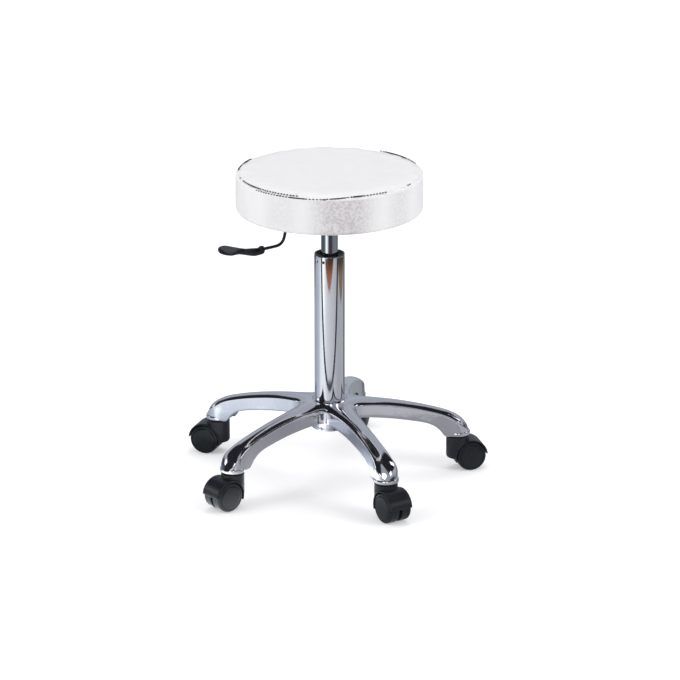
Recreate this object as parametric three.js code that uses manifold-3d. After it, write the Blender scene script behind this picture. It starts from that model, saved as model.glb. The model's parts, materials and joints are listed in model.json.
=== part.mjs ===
// Wheeled swivel stool: a round padded seat on a gas lift, carried by a cast five-arm
// base on hooded twin-wheel casters. Millimetres, +Z up, floor at z = 0, with the
// origin under the middle of the outline that the casters give the stool.

import * as THREE from "three";
import { mergeVertices, toCreasedNormals } from "three/addons/utils/BufferGeometryUtils.js";
import Module from "manifold-3d";

const wasm = await Module();
wasm.setup();

// Place of the column: the casters rest turned different ways, so the column stands
// a little off the middle of the outline.
const columnX = -12.35;
const columnY = -8.2;

// Clearances
const seatGap = 0.3; // between pieces that rest on each other or sit in each other
const runGap = 0.5; // between faces that turn past each other
const overrun = 6; // how far a cut runs past the faces it opens

// Casters, in frames whose X points along the trail. The wheels set the height of
// everything above them.
const casterTurns = [15, 77, 160, 220, 303]; // degrees from +X, at rest
const wheelRadius = 25;
const wheelWidth = 17.4;
const wheelPlay = 0.6; // between a wheel and the web beside it
const hoodWebHalf = 2;
const wheelInner = hoodWebHalf + wheelPlay; // inner face, from the caster's middle
const wheelOuter = wheelInner + wheelWidth; // edge of the outer face
const wheelDome = 1.4;
const wheelEdgeRound = 1.2;
const wheelRingInset = 4.5; // from the tread to the groove of the hub cap
const wheelRingRadius = wheelRadius - wheelRingInset;
const wheelRingWidth = 1.6;
const wheelRingDepth = 0.7;
const axleRadius = 3;
const axleInset = 5.5; // from a wheel's outer edge to the end of the axle
const axleHalfLength = wheelOuter - axleInset;
const hoodGap = 0.9; // between the treads and the arch
const hoodWall = 2.3;
const hoodVoidRadius = wheelRadius + hoodGap;
const hoodRadius = hoodVoidRadius + hoodWall;
const hoodFaceLead = 0.2; // how far the arch stands out past the wheels' edges
const hoodHalfWidth = wheelOuter + hoodFaceLead;
const hoodBossWall = 3.5;
const hoodBossRadius = axleRadius + hoodBossWall;
const hoodRearTurn = 5; // degrees above the axle's level where the arch ends behind
const hoodFrontTurn = -20; // and in front, under the neck
const stemRadius = 5.5;
const stemTipRound = 1;
const stemCollarWall = 3.5;
const stemCollarRadius = stemRadius + stemCollarWall;
const stemCollarThickness = 1.4;
const sleeveWall = 1;
const neckWall = 13.5;
const neckRadius = stemRadius + neckWall;
const neckLap = 0.5; // how far the neck's face runs past the axle's line
const casterTrail = neckRadius + neckLap;
const neckRound = 5;
const neckTopRound = 1;
const neckFootDrop = 5; // from the axle's level down to the neck's foot
const neckFootHeight = wheelRadius - neckFootDrop;
// The stem ends just clear of the treads that pass under it.
const stemFootHeight = wheelRadius + seatGap
  + Math.sqrt(wheelRadius ** 2 - (casterTrail - stemRadius) ** 2);
const stemSeatDepth = 14;
const neckTopHeight = stemFootHeight + stemSeatDepth;
const stemReach = 16; // how far the stem goes into the arm tip

// Heights above the floor
const tipHeight = neckTopHeight + seatGap + stemCollarThickness + seatGap; // arm tips
const hubFootRise = 23; // from the arm tips' underside up to the hub's foot
const hubFootHeight = tipHeight + hubFootRise;
const hubHeight = 50;
const hubTopHeight = hubFootHeight + hubHeight;
const columnStandOut = 250; // length of the column that shows above the hub
const columnTopHeight = hubTopHeight + columnStandOut;
const liftStandOut = 62.5; // how far the lift stands out of the column at rest
const liftTopHeight = columnTopHeight + liftStandOut;
const seatRise = 13.5; // from the lift's top up to the seat's underside
const seatFootHeight = liftTopHeight + seatRise;

// Column
const columnRadius = 25;
const columnWall = 2;
const columnTaper = 1; // how much the foot that sits in the hub tapers in
const columnFootRadius = columnRadius - columnTaper;
const columnRimRound = 1.5;
const columnLipReach = 0.7; // how far the rolled lip leans in past the inner wall
const columnLipRadius = columnRadius - columnWall - columnLipReach;
const columnLipDepth = 4;
const footPlateRise = 7; // from the hub's foot up to the plate in the column's foot
const footPlateHeight = hubFootHeight + footPlateRise;
const footPlateThickness = 4;
const footRimWall = 2.5;
const footRecessRadius = columnFootRadius - footRimWall;
const dimpleBallRadius = 6;
const dimpleDepth = 1.2;
const dimpleDrop = 9.5; // from the column's top to the punched dimples
const dimpleTurns = [215, 246]; // degrees
const bushLength = 69;
const bushFlangeChamfer = 1.5;

// Star base
const armCount = casterTurns.length;
const firstArmTurn = 7.1; // degrees from +X, seen from above
const casterCircle = 215; // radius of the circle through the caster stems
const tipLead = 1; // how far an arm tip stands out past the neck under it
const tipRadius = neckRadius + tipLead;
const armWaist = 4; // how much narrower an arm is than its tip, on each side
const armHalfWidth = tipRadius - armWaist;
const armWall = 3.4;
const armDraft = 0.8; // how much a flank leans in from its foot to its shoulder
const shoulderDrop = 5; // from the arm's ridge down to the crease of its flank
const tipRimOverhang = 0.7;
const tipRimHeight = 6;
const armRootLap = 5; // how far the arms start inside the column's outline
const armRootReach = columnRadius - armRootLap;
const hubWall = 17;
const hubRadius = columnRadius + hubWall;
const cavityRootLead = 4; // from the hub's face to where an arm's hollow starts
const cavityRootReach = hubRadius + cavityRootLead;
const hubFootWall = 4;
const hubConeFootRadius = columnFootRadius + hubFootWall;
const hubRimLead = 2;
const hubRimRadius = hubConeFootRadius + hubRimLead;
const hubRimHeight = 3.5;
const hubThroatWall = 9;
const hubConeTopRadius = columnRadius + hubThroatWall;
const hubConeHeight = 20;
const hubConeTopHeight = hubFootHeight + hubConeHeight;
const hubCollarWall = 2;
const hubCollarRadius = columnRadius + hubCollarWall;
const hubCollarHeight = 3.5;
const hubShoulderDrop = 9;

// Gas lift
const liftRadius = 14;
const liftWall = 1.7;
const liftLength = 242.5;
const liftFootHeight = liftTopHeight - liftLength;
const liftTaper = 0.9; // how much the end that sits in the socket tapers in
const liftTipRadius = liftRadius - liftTaper;
const liftEndThickness = 3.5;
const rodRadius = 5;
const rodCollarWall = 3;
const rodCollarRadius = rodRadius + rodCollarWall;
const rodCollarHeight = 5;
const pistonHeight = 13;
const pistonDrop = 72.5; // from the lift's top down to the piston
const pistonTopHeight = liftTopHeight - pistonDrop;
const pistonGrooveDepth = 1.2;
const bearingWidth = 7;
const bearingRadius = rodRadius + bearingWidth;
const washerThickness = 2;
const bearingThickness = 4.5;
const clipWidth = 3.5;
const clipRadius = rodRadius + clipWidth;
const clipThickness = 2;
const clipGrooveDepth = 0.8;
const clipSpread = 50; // degrees left open by the clip
const pinRadius = 4;
const pinStandOut = 4.5; // how far the pin stands out of the lift's top
const pinTopHeight = liftTopHeight + pinStandOut;
const pinLength = 21;
const pinFlangeWidth = 3;
const pinFlangeRadius = pinRadius + pinFlangeWidth;
const pinFlangeHeight = 3;

// Seat
const seatRadius = 152.5;
const bandHeight = 60; // from the underside to the seam
const seatCrown = 5.5; // how far the middle stands above the seam
const seatBulge = 1.2;
const seamDepth = 1.4;
const seamWidth = 3;
const hemWidth = 24; // how far the cover is turned in under the board
const hemThickness = 1.6;
const bandPadding = 6; // foam between the board's edge and the band
const boardRadius = seatRadius - bandPadding;
const boardThickness = 12;

// Seat plate and socket, in a frame whose X points along the lever
const leverTurn = 207; // degrees from +X
const plateSide = 150;
const plateCorner = 16;
const plateThickness = 3;
const boltInset = 14;
const boltRadius = 3;
const boltHeadLead = 2.8;
const boltHeadRadius = boltRadius + boltHeadLead;
const boltHeadHeight = 4;
const boltWasherLead = 2.2;
const boltWasherRadius = boltHeadRadius + boltWasherLead;
const boltWasherThickness = 1.3;
const boltTipInset = 1.5;
const socketWall = 4.5;
const socketRadius = liftRadius + socketWall;
const socketStep = 2; // from the socket's outside in to its neck
const socketNeckRadius = socketRadius - socketStep;
const socketDepth = 27.5; // length of the taper that the socket grips
const socketFootHeight = liftTopHeight - socketDepth;
const socketTopDrop = 2; // from the lift's top down to the socket's
const socketTopHeight = liftTopHeight - socketTopDrop;
const bracketRoom = 2; // from the socket to the outside of the bracket's walls
const bracketHalfWidth = socketRadius + bracketRoom;
const bracketWall = 2.5;
const bracketBack = 30; // reach of the bracket behind the column's axis
const bracketEarReach = 48;
const bracketFloorDrop = 7; // from the lift's top down to the bracket's floor
const bracketFloorHeight = liftTopHeight - bracketFloorDrop;
const bracketFlange = 7;

// Lever, in the same frame
const pivotInset = 8; // from the ears' ends back to the pivot
const pivotReach = bracketEarReach - pivotInset;
const rockerRoom = 9; // left free for the rocker in front of the bracket's floor
const bracketFloorReach = pivotReach - rockerRoom;
const pivotRise = 3.5; // from the lift's top up to the pivot
const pivotHeight = liftTopHeight + pivotRise;
const pivotPinRadius = 2;
const pivotPinHeadLead = 1.6;
const pivotPinHeadRadius = pivotPinRadius + pivotPinHeadLead;
const pivotPinHeadThickness = 1.4;
const rockerWall = 3;
const rockerRadius = pivotPinRadius + rockerWall;
const rockerBarWidth = 9;
const rockerBarThickness = 3.5;
const leverRodRadius = 2.5;
const leverArmLength = 36; // from the pivot out to the upper bend
const leverBendReach = pivotReach + leverArmLength;
const leverBendDrop = 1.5; // upper bend, below the pivot
const leverBendHeight = pivotHeight - leverBendDrop;
const leverElbowRunOut = 9; // from the upper bend out to the lower one
const leverElbowReach = leverBendReach + leverElbowRunOut;
const leverElbowDrop = 39.5;
const leverElbowHeight = pivotHeight - leverElbowDrop;
const leverBendRun = 11;
const leverElbowRun = 13;
const handleRunOut = 34; // from the lower bend out to the handle
const handleReach = leverElbowReach + handleRunOut;
const handleRootDrop = 42;
const handleRootHeight = pivotHeight - handleRootDrop;
const handleLength = 80;
const handleRiseTurn = 6.5; // degrees above level
const handleHalfWidth = 16;
const handleHalfThickness = 7.25;
const handleLeanTurn = 11; // degrees that the paddle leans about the handle's length
const handleBoreDepth = 15;

// Facet counts
const columnFacets = 32;
const liftFacets = 22;
const smallFacets = 12;
const stemFacets = 10;
const hubFacets = 25;
const seatFacets = 40;
const wheelFacets = 18;
const hoodFacets = 18;
const tipFacets = 16;
const rodFacets = 8;
const rodSteps = 20;
const boltSides = 6;
const curveSteps = 12; // samples of an outline for each of its points
const creaseTurn = 35; // degrees

const turn = THREE.MathUtils.degToRad;

// Outlines of an arm, seen from the side and from above. Reaches are shares of the
// caster circle's radius, levels are shares of the height from tip to hub top, and
// widths are shares of the arm's half width.
const armTopShares = [
  [0.09, 0.985], [0.265, 0.955], [0.42, 0.91], [0.576, 0.832], [0.736, 0.726],
  [0.892, 0.59], [0.969, 0.49], [1.033, 0.37], [1.072, 0.24], [1.093, 0.13],
];
const armFootShares = [
  [0.09, 0.62], [0.25, 0.59], [0.42, 0.526], [0.576, 0.452], [0.736, 0.356],
  [0.814, 0.26], [0.87, 0.11], [0.9, 0], [1.1, 0],
];
const armSideShares = [
  [0.09, 2.2], [0.16, 1.86], [0.25, 1.46], [0.35, 1.2], [0.465, 1.04],
  [0.6, 0.97], [0.8, 0.97], [0.9, 1.04], [1, 1.14],
];
const armStationShares = [
  0.18, 0.25, 0.36, 0.5, 0.64, 0.76, 0.84, 0.88, 0.91, 0.95,
];
const noseStationTurns = [0, 28, 50, 70]; // degrees round the tip
const crownShares = [1, 0.6, 0, -0.6, -1];

// Handle stations: reach, half width, half thickness, lift and twist, as shares of the
// handle's length, half width, half thickness, half thickness and twist.
const handleShares = [
  [0, 0.3, 0.66, -0.17, 0], [0.03, 0.38, 0.94, -0.23, 0], [0.08, 0.39, 1, -0.31, 0],
  [0.12, 0.4, 0.84, -0.58, 0], [0.24, 0.53, 0.85, -0.67, 0], [0.4, 0.44, 0.7, -0.57, 0.2],
  [0.53, 0.45, 0.68, -0.37, 0.5], [0.65, 0.7, 0.66, -0.23, 0.8], [0.78, 1, 0.59, -0.15, 1],
  [0.9, 0.9, 0.5, -0.17, 1], [0.97, 0.56, 0.38, -0.25, 1], [1, 0.18, 0.18, -0.33, 1],
];
const handleFacets = 10;

// Rings of the seat: radii of the top panel and heights of the side band.
const crownRingShares = [0.95, 0.86, 0.7, 0.42];
const bandRingShares = [0.08, 0.3, 0.6, 0.9];

// Helpers

function finish(color, roughness, metalness) {
  return new THREE.MeshStandardMaterial({ color, roughness, metalness });
}

const chrome = () => finish(0xd4d7dc, 0.08, 1);
const steel = () => finish(0xa9acb0, 0.32, 1);
const blackPlastic = () => finish(0x17201f, 0.5, 0);
const whiteVinyl = () => finish(0xf0eff1, 0.42, 0);
const plywood = () => finish(0xc7a878, 0.7, 0);
const blackSteel = () => finish(0x141516, 0.35, 0.6);

function piece(name, geometry, material) {
  const mesh = new THREE.Mesh(geometry, material);
  mesh.name = name;
  return mesh;
}

// Turns a profile of [radius, height] points about Z. Profiles run anticlockwise.
function revolve(profile, facets) {
  const points = profile.map(([radius, height]) => new THREE.Vector2(radius, height));
  return new THREE.LatheGeometry(points, facets).rotateX(Math.PI / 2);
}

function ring(inner, outer, foot, top, facets) {
  const profile = [[inner, foot], [outer, foot], [outer, top], [inner, top], [inner, foot]];
  return revolve(profile, facets);
}

function disc(radius, foot, top, facets) {
  return revolve([[0, foot], [radius, foot], [radius, top], [0, top]], facets);
}

function block(x0, x1, y0, y1, z0, z1) {
  const geometry = new THREE.BoxGeometry(x1 - x0, y1 - y0, z1 - z0);
  return geometry.translate((x0 + x1) / 2, (y0 + y1) / 2, (z0 + z1) / 2);
}

// A bar across the frame, along Y, at a given x and z.
function crossBar(radius, y0, y1, x, z, facets) {
  const geometry = new THREE.CylinderGeometry(radius, radius, y1 - y0, facets);
  return geometry.translate(x, (y0 + y1) / 2, z);
}

// Skins a row of equal rings of points, each anticlockwise seen from the far end.
function loft(rings) {
  const count = rings[0].length;
  const positions = rings.flat().flatMap((point) => point.toArray());
  const index = [];
  for (let step = 0; step < rings.length - 1; step++) {
    for (let i = 0; i < count; i++) {
      const a = step * count + i;
      const b = step * count + ((i + 1) % count);
      index.push(a, b, b + count, a, b + count, a + count);
    }
  }
  const last = (rings.length - 1) * count;
  for (let i = 1; i < count - 1; i++) {
    index.push(0, i + 1, i);
    index.push(last, last + i, last + i + 1);
  }
  const geometry = new THREE.BufferGeometry();
  geometry.setAttribute("position", new THREE.Float32BufferAttribute(positions, 3));
  geometry.setIndex(index);
  return geometry;
}

function toSolid(geometry) {
  const bare = geometry.clone();
  bare.deleteAttribute("normal");
  bare.deleteAttribute("uv");
  const merged = mergeVertices(bare);
  const triangles = [];
  for (let i = 0; i < merged.index.count; i += 3) {
    const corners = [0, 1, 2].map((step) => merged.index.getX(i + step));
    if (new Set(corners).size === 3) {
      triangles.push(...corners);
    }
  }
  const mesh = new wasm.Mesh({
    numProp: 3,
    vertProperties: new Float32Array(merged.attributes.position.array),
    triVerts: new Uint32Array(triangles),
  });
  return new wasm.Manifold(mesh);
}

function toGeometry(solid) {
  const { vertProperties, triVerts } = solid.getMesh();
  const geometry = new THREE.BufferGeometry();
  geometry.setAttribute("position", new THREE.BufferAttribute(vertProperties, 3));
  geometry.setIndex(new THREE.BufferAttribute(triVerts, 1));
  return toCreasedNormals(geometry, turn(creaseTurn));
}

function join(geometries) {
  return geometries.map(toSolid).reduce((whole, next) => whole.add(next));
}

function cut(solid, geometries) {
  return geometries.map(toSolid).reduce((rest, tool) => rest.subtract(tool), solid);
}

// Star base

// Height of a spline through [reach, level] points, read at one reach.
function curveReader(shares, reachSize, levelSize, levelFoot) {
  const controls = shares.map(
    ([reach, level]) => new THREE.Vector2(reach * reachSize, levelFoot + level * levelSize),
  );
  const samples = new THREE.SplineCurve(controls).getPoints(curveSteps * controls.length);
  return (reach) => {
    const next = samples.findIndex((sample) => sample.x >= reach);
    if (next <= 0) {
      return next < 0 ? samples[samples.length - 1].y : samples[0].y;
    }
    const before = samples[next - 1];
    const after = samples[next];
    const share = (reach - before.x) / (after.x - before.x);
    return before.y + share * (after.y - before.y);
  };
}

const armRise = hubTopHeight - tipHeight;
const armTop = curveReader(armTopShares, casterCircle, armRise, tipHeight);
const armFootLine = curveReader(armFootShares, casterCircle, armRise, tipHeight);
const armSide = curveReader(armSideShares, casterCircle, armHalfWidth, 0);

function armFoot(reach) {
  return Math.max(armFootLine(reach), tipHeight);
}

function armWidth(reach) {
  const fromTip = Math.abs(reach - casterCircle);
  const boss = Math.sqrt(Math.max(tipRadius ** 2 - fromTip ** 2, 0));
  return reach > casterCircle ? boss : Math.max(armSide(reach), boss);
}

function armSection(reach) {
  const half = armWidth(reach);
  const foot = armFoot(reach);
  const top = armTop(reach);
  const shoulder = Math.max(top - shoulderDrop, foot + tipRimHeight / 2);
  const crown = Math.max(top, shoulder + armDraft) - shoulder;
  const points = [
    new THREE.Vector3(reach, -half, foot),
    new THREE.Vector3(reach, half, foot),
  ];
  for (const share of crownShares) {
    const y = share * (half - Math.min(armDraft, half / 2));
    points.push(new THREE.Vector3(reach, y, shoulder + crown * (1 - share * share)));
  }
  return points;
}

function armReaches() {
  const shank = armStationShares.map((share) => share * casterCircle);
  const nose = noseStationTurns.map((angle) => casterCircle + tipRadius * Math.sin(turn(angle)));
  return [armRootReach, ...shank, ...nose];
}

function armOutside() {
  return loft(armReaches().map(armSection));
}

function armCavitySection(reach) {
  const half = armWidth(reach) - armWall;
  const foot = armFoot(reach) - overrun;
  const roof = armTop(reach) - shoulderDrop / 2 - armWall;
  const shoulder = roof - armWall;
  const inner = half - armWall / 2;
  return [
    [-half, foot], [half, foot], [half - armDraft, shoulder], [inner - armWall, roof],
    [armWall - inner, roof], [armDraft - half, shoulder],
  ].map(([y, z]) => new THREE.Vector3(reach, y, z));
}

function armCavity() {
  const end = casterCircle - tipRadius - armWall;
  const start = cavityRootReach + armWall;
  const middle = armReaches().filter((reach) => reach > start && reach < end - armWall);
  return loft([cavityRootReach, ...middle, end].map(armCavitySection));
}

function tipRim() {
  const radius = tipRadius + tipRimOverhang;
  const top = tipHeight + tipRimHeight;
  const profile = [
    [0, tipHeight], [radius, tipHeight], [radius, top - tipRimOverhang],
    [radius - tipRimOverhang, top], [0, top],
  ];
  return revolve(profile, tipFacets).translate(casterCircle, 0, 0);
}

function hubOutside() {
  const rimTop = hubFootHeight + hubRimHeight;
  const shoulder = hubTopHeight - hubShoulderDrop;
  const web = hubTopHeight - hubCollarHeight;
  return revolve(
    [
      [0, hubFootHeight], [hubRimRadius - armDraft, hubFootHeight],
      [hubRimRadius, hubFootHeight + armDraft], [hubRimRadius, rimTop],
      [hubConeFootRadius, rimTop + armDraft], [hubConeTopRadius, hubConeTopHeight],
      [hubRadius, hubConeTopHeight + hubShoulderDrop], [hubRadius, shoulder],
      [hubRadius - hubShoulderDrop, web],
      [hubCollarRadius + hubCollarHeight / 2, web + hubCollarHeight / 4],
      [hubCollarRadius, hubTopHeight], [0, hubTopHeight],
    ],
    hubFacets,
  );
}

// The taper of the column's foot, drawn outward by a clearance. It runs on past both
// ends of the hub at the same slope.
function footTaperRadius(height) {
  const slope = (columnRadius - columnFootRadius) / (hubTopHeight - hubFootHeight);
  return columnFootRadius - seatGap + slope * (height - hubFootHeight);
}

function hubBore() {
  const foot = hubFootHeight - overrun;
  const top = hubTopHeight + overrun;
  return revolve(
    [
      [0, foot], [footTaperRadius(foot) + seatGap, foot],
      [footTaperRadius(top) + seatGap, top], [0, top],
    ],
    columnFacets,
  );
}

const sleeveRadius = stemRadius + seatGap + sleeveWall;

function stemBore() {
  const top = tipHeight + stemReach + seatGap;
  const bore = disc(sleeveRadius + seatGap, tipHeight - overrun, top, smallFacets);
  return bore.translate(casterCircle, 0, 0);
}

function armTurns() {
  return casterTurns.map((_, arm) => firstArmTurn + (arm * 360) / armCount);
}

function starBase() {
  const round = (make) => armTurns().map((angle) => make().rotateZ(turn(angle)));
  const body = join([hubOutside(), ...round(armOutside), ...round(tipRim)]);
  const cast = cut(body, [hubBore(), ...round(armCavity), ...round(stemBore)]);
  return piece("star_base", toGeometry(cast), chrome());
}

// Column

function columnTube() {
  const inner = columnRadius - columnWall;
  const plateTop = footPlateHeight + footPlateThickness;
  const lipFoot = columnTopHeight - columnLipDepth;
  const rodHole = rodRadius + seatGap;
  const step = hubTopHeight + seatGap;
  const body = toSolid(revolve(
    [
      [footRecessRadius, hubFootHeight], [footTaperRadius(hubFootHeight), hubFootHeight],
      [footTaperRadius(hubTopHeight), hubTopHeight], [footTaperRadius(hubTopHeight), step],
      [columnRadius, step], [columnRadius, columnTopHeight - columnRimRound],
      [columnRadius - columnRimRound, columnTopHeight],
      [columnLipRadius, columnTopHeight - columnRimRound / 2],
      [columnLipRadius, lipFoot + columnRimRound / 2], [inner, lipFoot],
      [inner, plateTop], [rodHole, plateTop], [rodHole, footPlateHeight],
      [footRecessRadius, footPlateHeight], [footRecessRadius, hubFootHeight],
    ],
    columnFacets,
  ));
  const dimples = dimpleTurns.map((angle) => {
    const ball = new THREE.SphereGeometry(dimpleBallRadius, smallFacets, rodFacets);
    const reach = columnRadius + dimpleBallRadius - dimpleDepth;
    return ball.translate(reach, 0, columnTopHeight - dimpleDrop).rotateZ(turn(angle));
  });
  return piece("column_tube", toGeometry(cut(body, dimples)), chrome());
}

function guideBush() {
  const top = columnTopHeight - columnLipDepth - seatGap;
  const foot = top - bushLength;
  const outer = columnRadius - columnWall - seatGap;
  const inner = liftRadius + seatGap;
  const profile = [
    [inner, foot], [outer, foot], [outer, top - bushFlangeChamfer],
    [outer - bushFlangeChamfer, top], [inner + bushFlangeChamfer, top],
    [inner, top - bushFlangeChamfer], [inner, foot],
  ];
  return piece("guide_bush", revolve(profile, columnFacets), blackPlastic());
}

// Gas lift

const lowerWasherFoot = footPlateHeight + footPlateThickness + seatGap;
const bearingFoot = lowerWasherFoot + washerThickness + seatGap;
const upperWasherFoot = bearingFoot + bearingThickness + seatGap;
const rodCollarFoot = upperWasherFoot + washerThickness + seatGap;
const footWasherTop = footPlateHeight - seatGap;
const clipTop = footWasherTop - washerThickness - seatGap;
const clipFoot = clipTop - clipThickness;

function washer(name, foot) {
  const inner = rodRadius + seatGap;
  const geometry = ring(inner, bearingRadius, foot, foot + washerThickness, smallFacets);
  return piece(name, geometry, steel());
}

// The cage of the thrust bearing, waisted where the rolling elements sit.
function thrustBearing() {
  const inner = rodRadius + seatGap;
  const top = bearingFoot + bearingThickness;
  const waist = bearingRadius - bearingThickness / 4;
  const profile = [
    [inner, bearingFoot], [bearingRadius, bearingFoot],
    [waist, bearingFoot + bearingThickness / 3], [waist, top - bearingThickness / 3],
    [bearingRadius, top], [inner, top], [inner, bearingFoot],
  ];
  return piece("thrust_bearing", revolve(profile, smallFacets), steel());
}

function pistonRod() {
  const groove = rodRadius - clipGrooveDepth;
  const foot = hubFootHeight + seatGap;
  const collarTop = rodCollarFoot + rodCollarHeight;
  const profile = [
    [0, foot], [rodRadius, foot], [rodRadius, clipFoot - seatGap], [groove, clipFoot - seatGap],
    [groove, clipTop + seatGap], [rodRadius, clipTop + seatGap], [rodRadius, rodCollarFoot],
    [rodCollarRadius, rodCollarFoot], [rodCollarRadius, collarTop], [rodRadius, collarTop],
    [rodRadius, pistonTopHeight], [0, pistonTopHeight],
  ];
  return piece("piston_rod", revolve(profile, smallFacets), steel());
}

function piston() {
  const radius = liftRadius - liftWall - seatGap;
  const foot = pistonTopHeight - pistonHeight;
  const middle = pistonTopHeight - pistonHeight / 2;
  const inner = rodRadius + seatGap;
  const profile = [
    [inner, foot], [radius, foot], [radius, middle - pistonGrooveDepth],
    [radius - pistonGrooveDepth, middle - pistonGrooveDepth],
    [radius - pistonGrooveDepth, middle + pistonGrooveDepth],
    [radius, middle + pistonGrooveDepth], [radius, pistonTopHeight],
    [inner, pistonTopHeight], [inner, foot],
  ];
  return piece("piston", revolve(profile, smallFacets), blackPlastic());
}

// A ring with one open side, pushed into the groove at the foot of the rod.
function retainingClip() {
  const inner = rodRadius - clipGrooveDepth + seatGap;
  const half = turn(clipSpread / 2);
  const shape = new THREE.Shape();
  shape.absarc(0, 0, clipRadius, half, 2 * Math.PI - half, false);
  shape.absarc(0, 0, inner, 2 * Math.PI - half, half, true);
  const geometry = new THREE.ExtrudeGeometry(shape, {
    depth: clipThickness, bevelEnabled: false, curveSegments: stemFacets,
  });
  return piece("retaining_clip", geometry.translate(0, 0, clipFoot), steel());
}

// Radius of the lift's taper, which starts at the mouth of the socket.
function liftTaperRadius(height) {
  const share = (height - socketFootHeight) / (liftTopHeight - socketFootHeight);
  return liftRadius - (liftRadius - liftTipRadius) * share;
}

function pressureTube() {
  const inner = liftRadius - liftWall;
  const innerTop = liftTipRadius - liftWall;
  const rodHole = rodRadius + seatGap;
  const pinHole = pinRadius + seatGap;
  const profile = [
    [rodHole, liftFootHeight], [liftRadius - liftWall, liftFootHeight],
    [liftRadius, liftFootHeight + liftWall], [liftRadius, socketFootHeight],
    [liftTipRadius, liftTopHeight], [pinHole, liftTopHeight],
    [pinHole, liftTopHeight - liftEndThickness], [innerTop, liftTopHeight - liftEndThickness],
    [inner, socketFootHeight], [inner, liftFootHeight + liftEndThickness],
    [rodHole, liftFootHeight + liftEndThickness], [rodHole, liftFootHeight],
  ];
  return piece("pressure_tube", revolve(profile, liftFacets), chrome());
}

function releasePin() {
  const foot = pinTopHeight - pinLength;
  const profile = [
    [0, foot], [pinFlangeRadius, foot], [pinFlangeRadius, foot + pinFlangeHeight],
    [pinRadius, foot + pinFlangeHeight], [pinRadius, pinTopHeight - seatGap],
    [pinRadius - seatGap, pinTopHeight], [0, pinTopHeight],
  ];
  return piece("release_pin", revolve(profile, smallFacets), steel());
}

// Seat

const boardFoot = seatFootHeight + hemThickness / 2;
const boardTop = boardFoot + boardThickness;
const plateTop = boardFoot - seatGap;
const plateFoot = plateTop - plateThickness;
const boltReach = plateSide / 2 - boltInset;

// Padded seat: a crowned top panel and a bulging side band that meet in a drawn-in
// seam, with the cover turned in under the board.
function seatCushion() {
  const seam = seatFootHeight + bandHeight;
  const top = seam + seatCrown;
  const bandRadius = seatRadius + seatBulge;
  const panelRadius = seatRadius - seamWidth / 2;
  const pocketRadius = boardRadius + seatGap;
  const pocketFoot = boardFoot - seatGap;
  const pocketTop = boardTop + seatGap;
  const hemFoot = pocketFoot - hemThickness;
  const crown = crownRingShares.map((share) => {
    const fall = seatCrown * share ** 4;
    return [panelRadius * share, top - fall];
  });
  const bandFoot = seatFootHeight + seamWidth;
  const band = bandRingShares.map((share) => {
    const swell = seatBulge * Math.sin(Math.PI * share);
    return [seatRadius + swell, bandFoot + share * (bandHeight - 2 * seamWidth)];
  });
  const profile = [
    [0, pocketTop], [pocketRadius, pocketTop], [pocketRadius, pocketFoot],
    [pocketRadius - hemWidth, pocketFoot], [pocketRadius - hemWidth, hemFoot],
    [pocketRadius, hemFoot], [seatRadius - seamWidth / 2, hemFoot + seamWidth / 2],
    ...band,
    [seatRadius, seam - seamWidth / 2], [seatRadius - seamDepth, seam],
    [panelRadius, seam + seamWidth / 4],
    ...crown,
    [0, top],
  ];
  return piece("seat_cushion", revolve(profile, seatFacets), whiteVinyl());
}

function boltPlaces() {
  const signs = [[1, 1], [-1, 1], [-1, -1], [1, -1]];
  return signs.map(([x, y]) => new THREE.Vector2(x * boltReach, y * boltReach));
}

function seatBoard() {
  const blank = toSolid(disc(boardRadius, boardFoot, boardTop, seatFacets));
  const holes = boltPlaces().map((place) => {
    const hole = disc(boltRadius + seatGap, boardFoot - overrun, boardTop + overrun, stemFacets);
    return hole.translate(place.x, place.y, 0);
  });
  return piece("seat_board", toGeometry(cut(blank, holes)), plywood());
}

function seatPlate() {
  const half = plateSide / 2;
  const flat = half - plateCorner;
  const shape = new THREE.Shape();
  shape.absarc(flat, flat, plateCorner, 0, Math.PI / 2, false);
  shape.absarc(-flat, flat, plateCorner, Math.PI / 2, Math.PI, false);
  shape.absarc(-flat, -flat, plateCorner, Math.PI, 1.5 * Math.PI, false);
  shape.absarc(flat, -flat, plateCorner, 1.5 * Math.PI, 2 * Math.PI, false);
  for (const place of boltPlaces()) {
    const hole = new THREE.Path();
    hole.absarc(place.x, place.y, boltRadius + seatGap, 0, 2 * Math.PI, true);
    shape.holes.push(hole);
  }
  const geometry = new THREE.ExtrudeGeometry(shape, {
    depth: plateThickness, bevelEnabled: false, curveSegments: rodFacets / 2,
  });
  return piece("seat_plate", geometry.translate(0, 0, plateFoot), blackSteel());
}

function plateBolt(number, place) {
  const washerTop = plateFoot - seatGap;
  const headTop = washerTop - boltWasherThickness;
  const tip = boardTop - boltTipInset;
  const shank = revolve(
    [
      [0, headTop], [boltWasherRadius, headTop], [boltWasherRadius, washerTop],
      [boltRadius, washerTop], [boltRadius, tip], [0, tip],
    ],
    stemFacets,
  );
  const headRoot = headTop + boltWasherThickness / 2;
  const head = disc(boltHeadRadius, headTop - boltHeadHeight, headRoot, boltSides);
  const mesh = piece(`plate_bolt_${number}`, toGeometry(join([shank, head])), steel());
  mesh.position.set(place.x, place.y, 0);
  return mesh;
}

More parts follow.
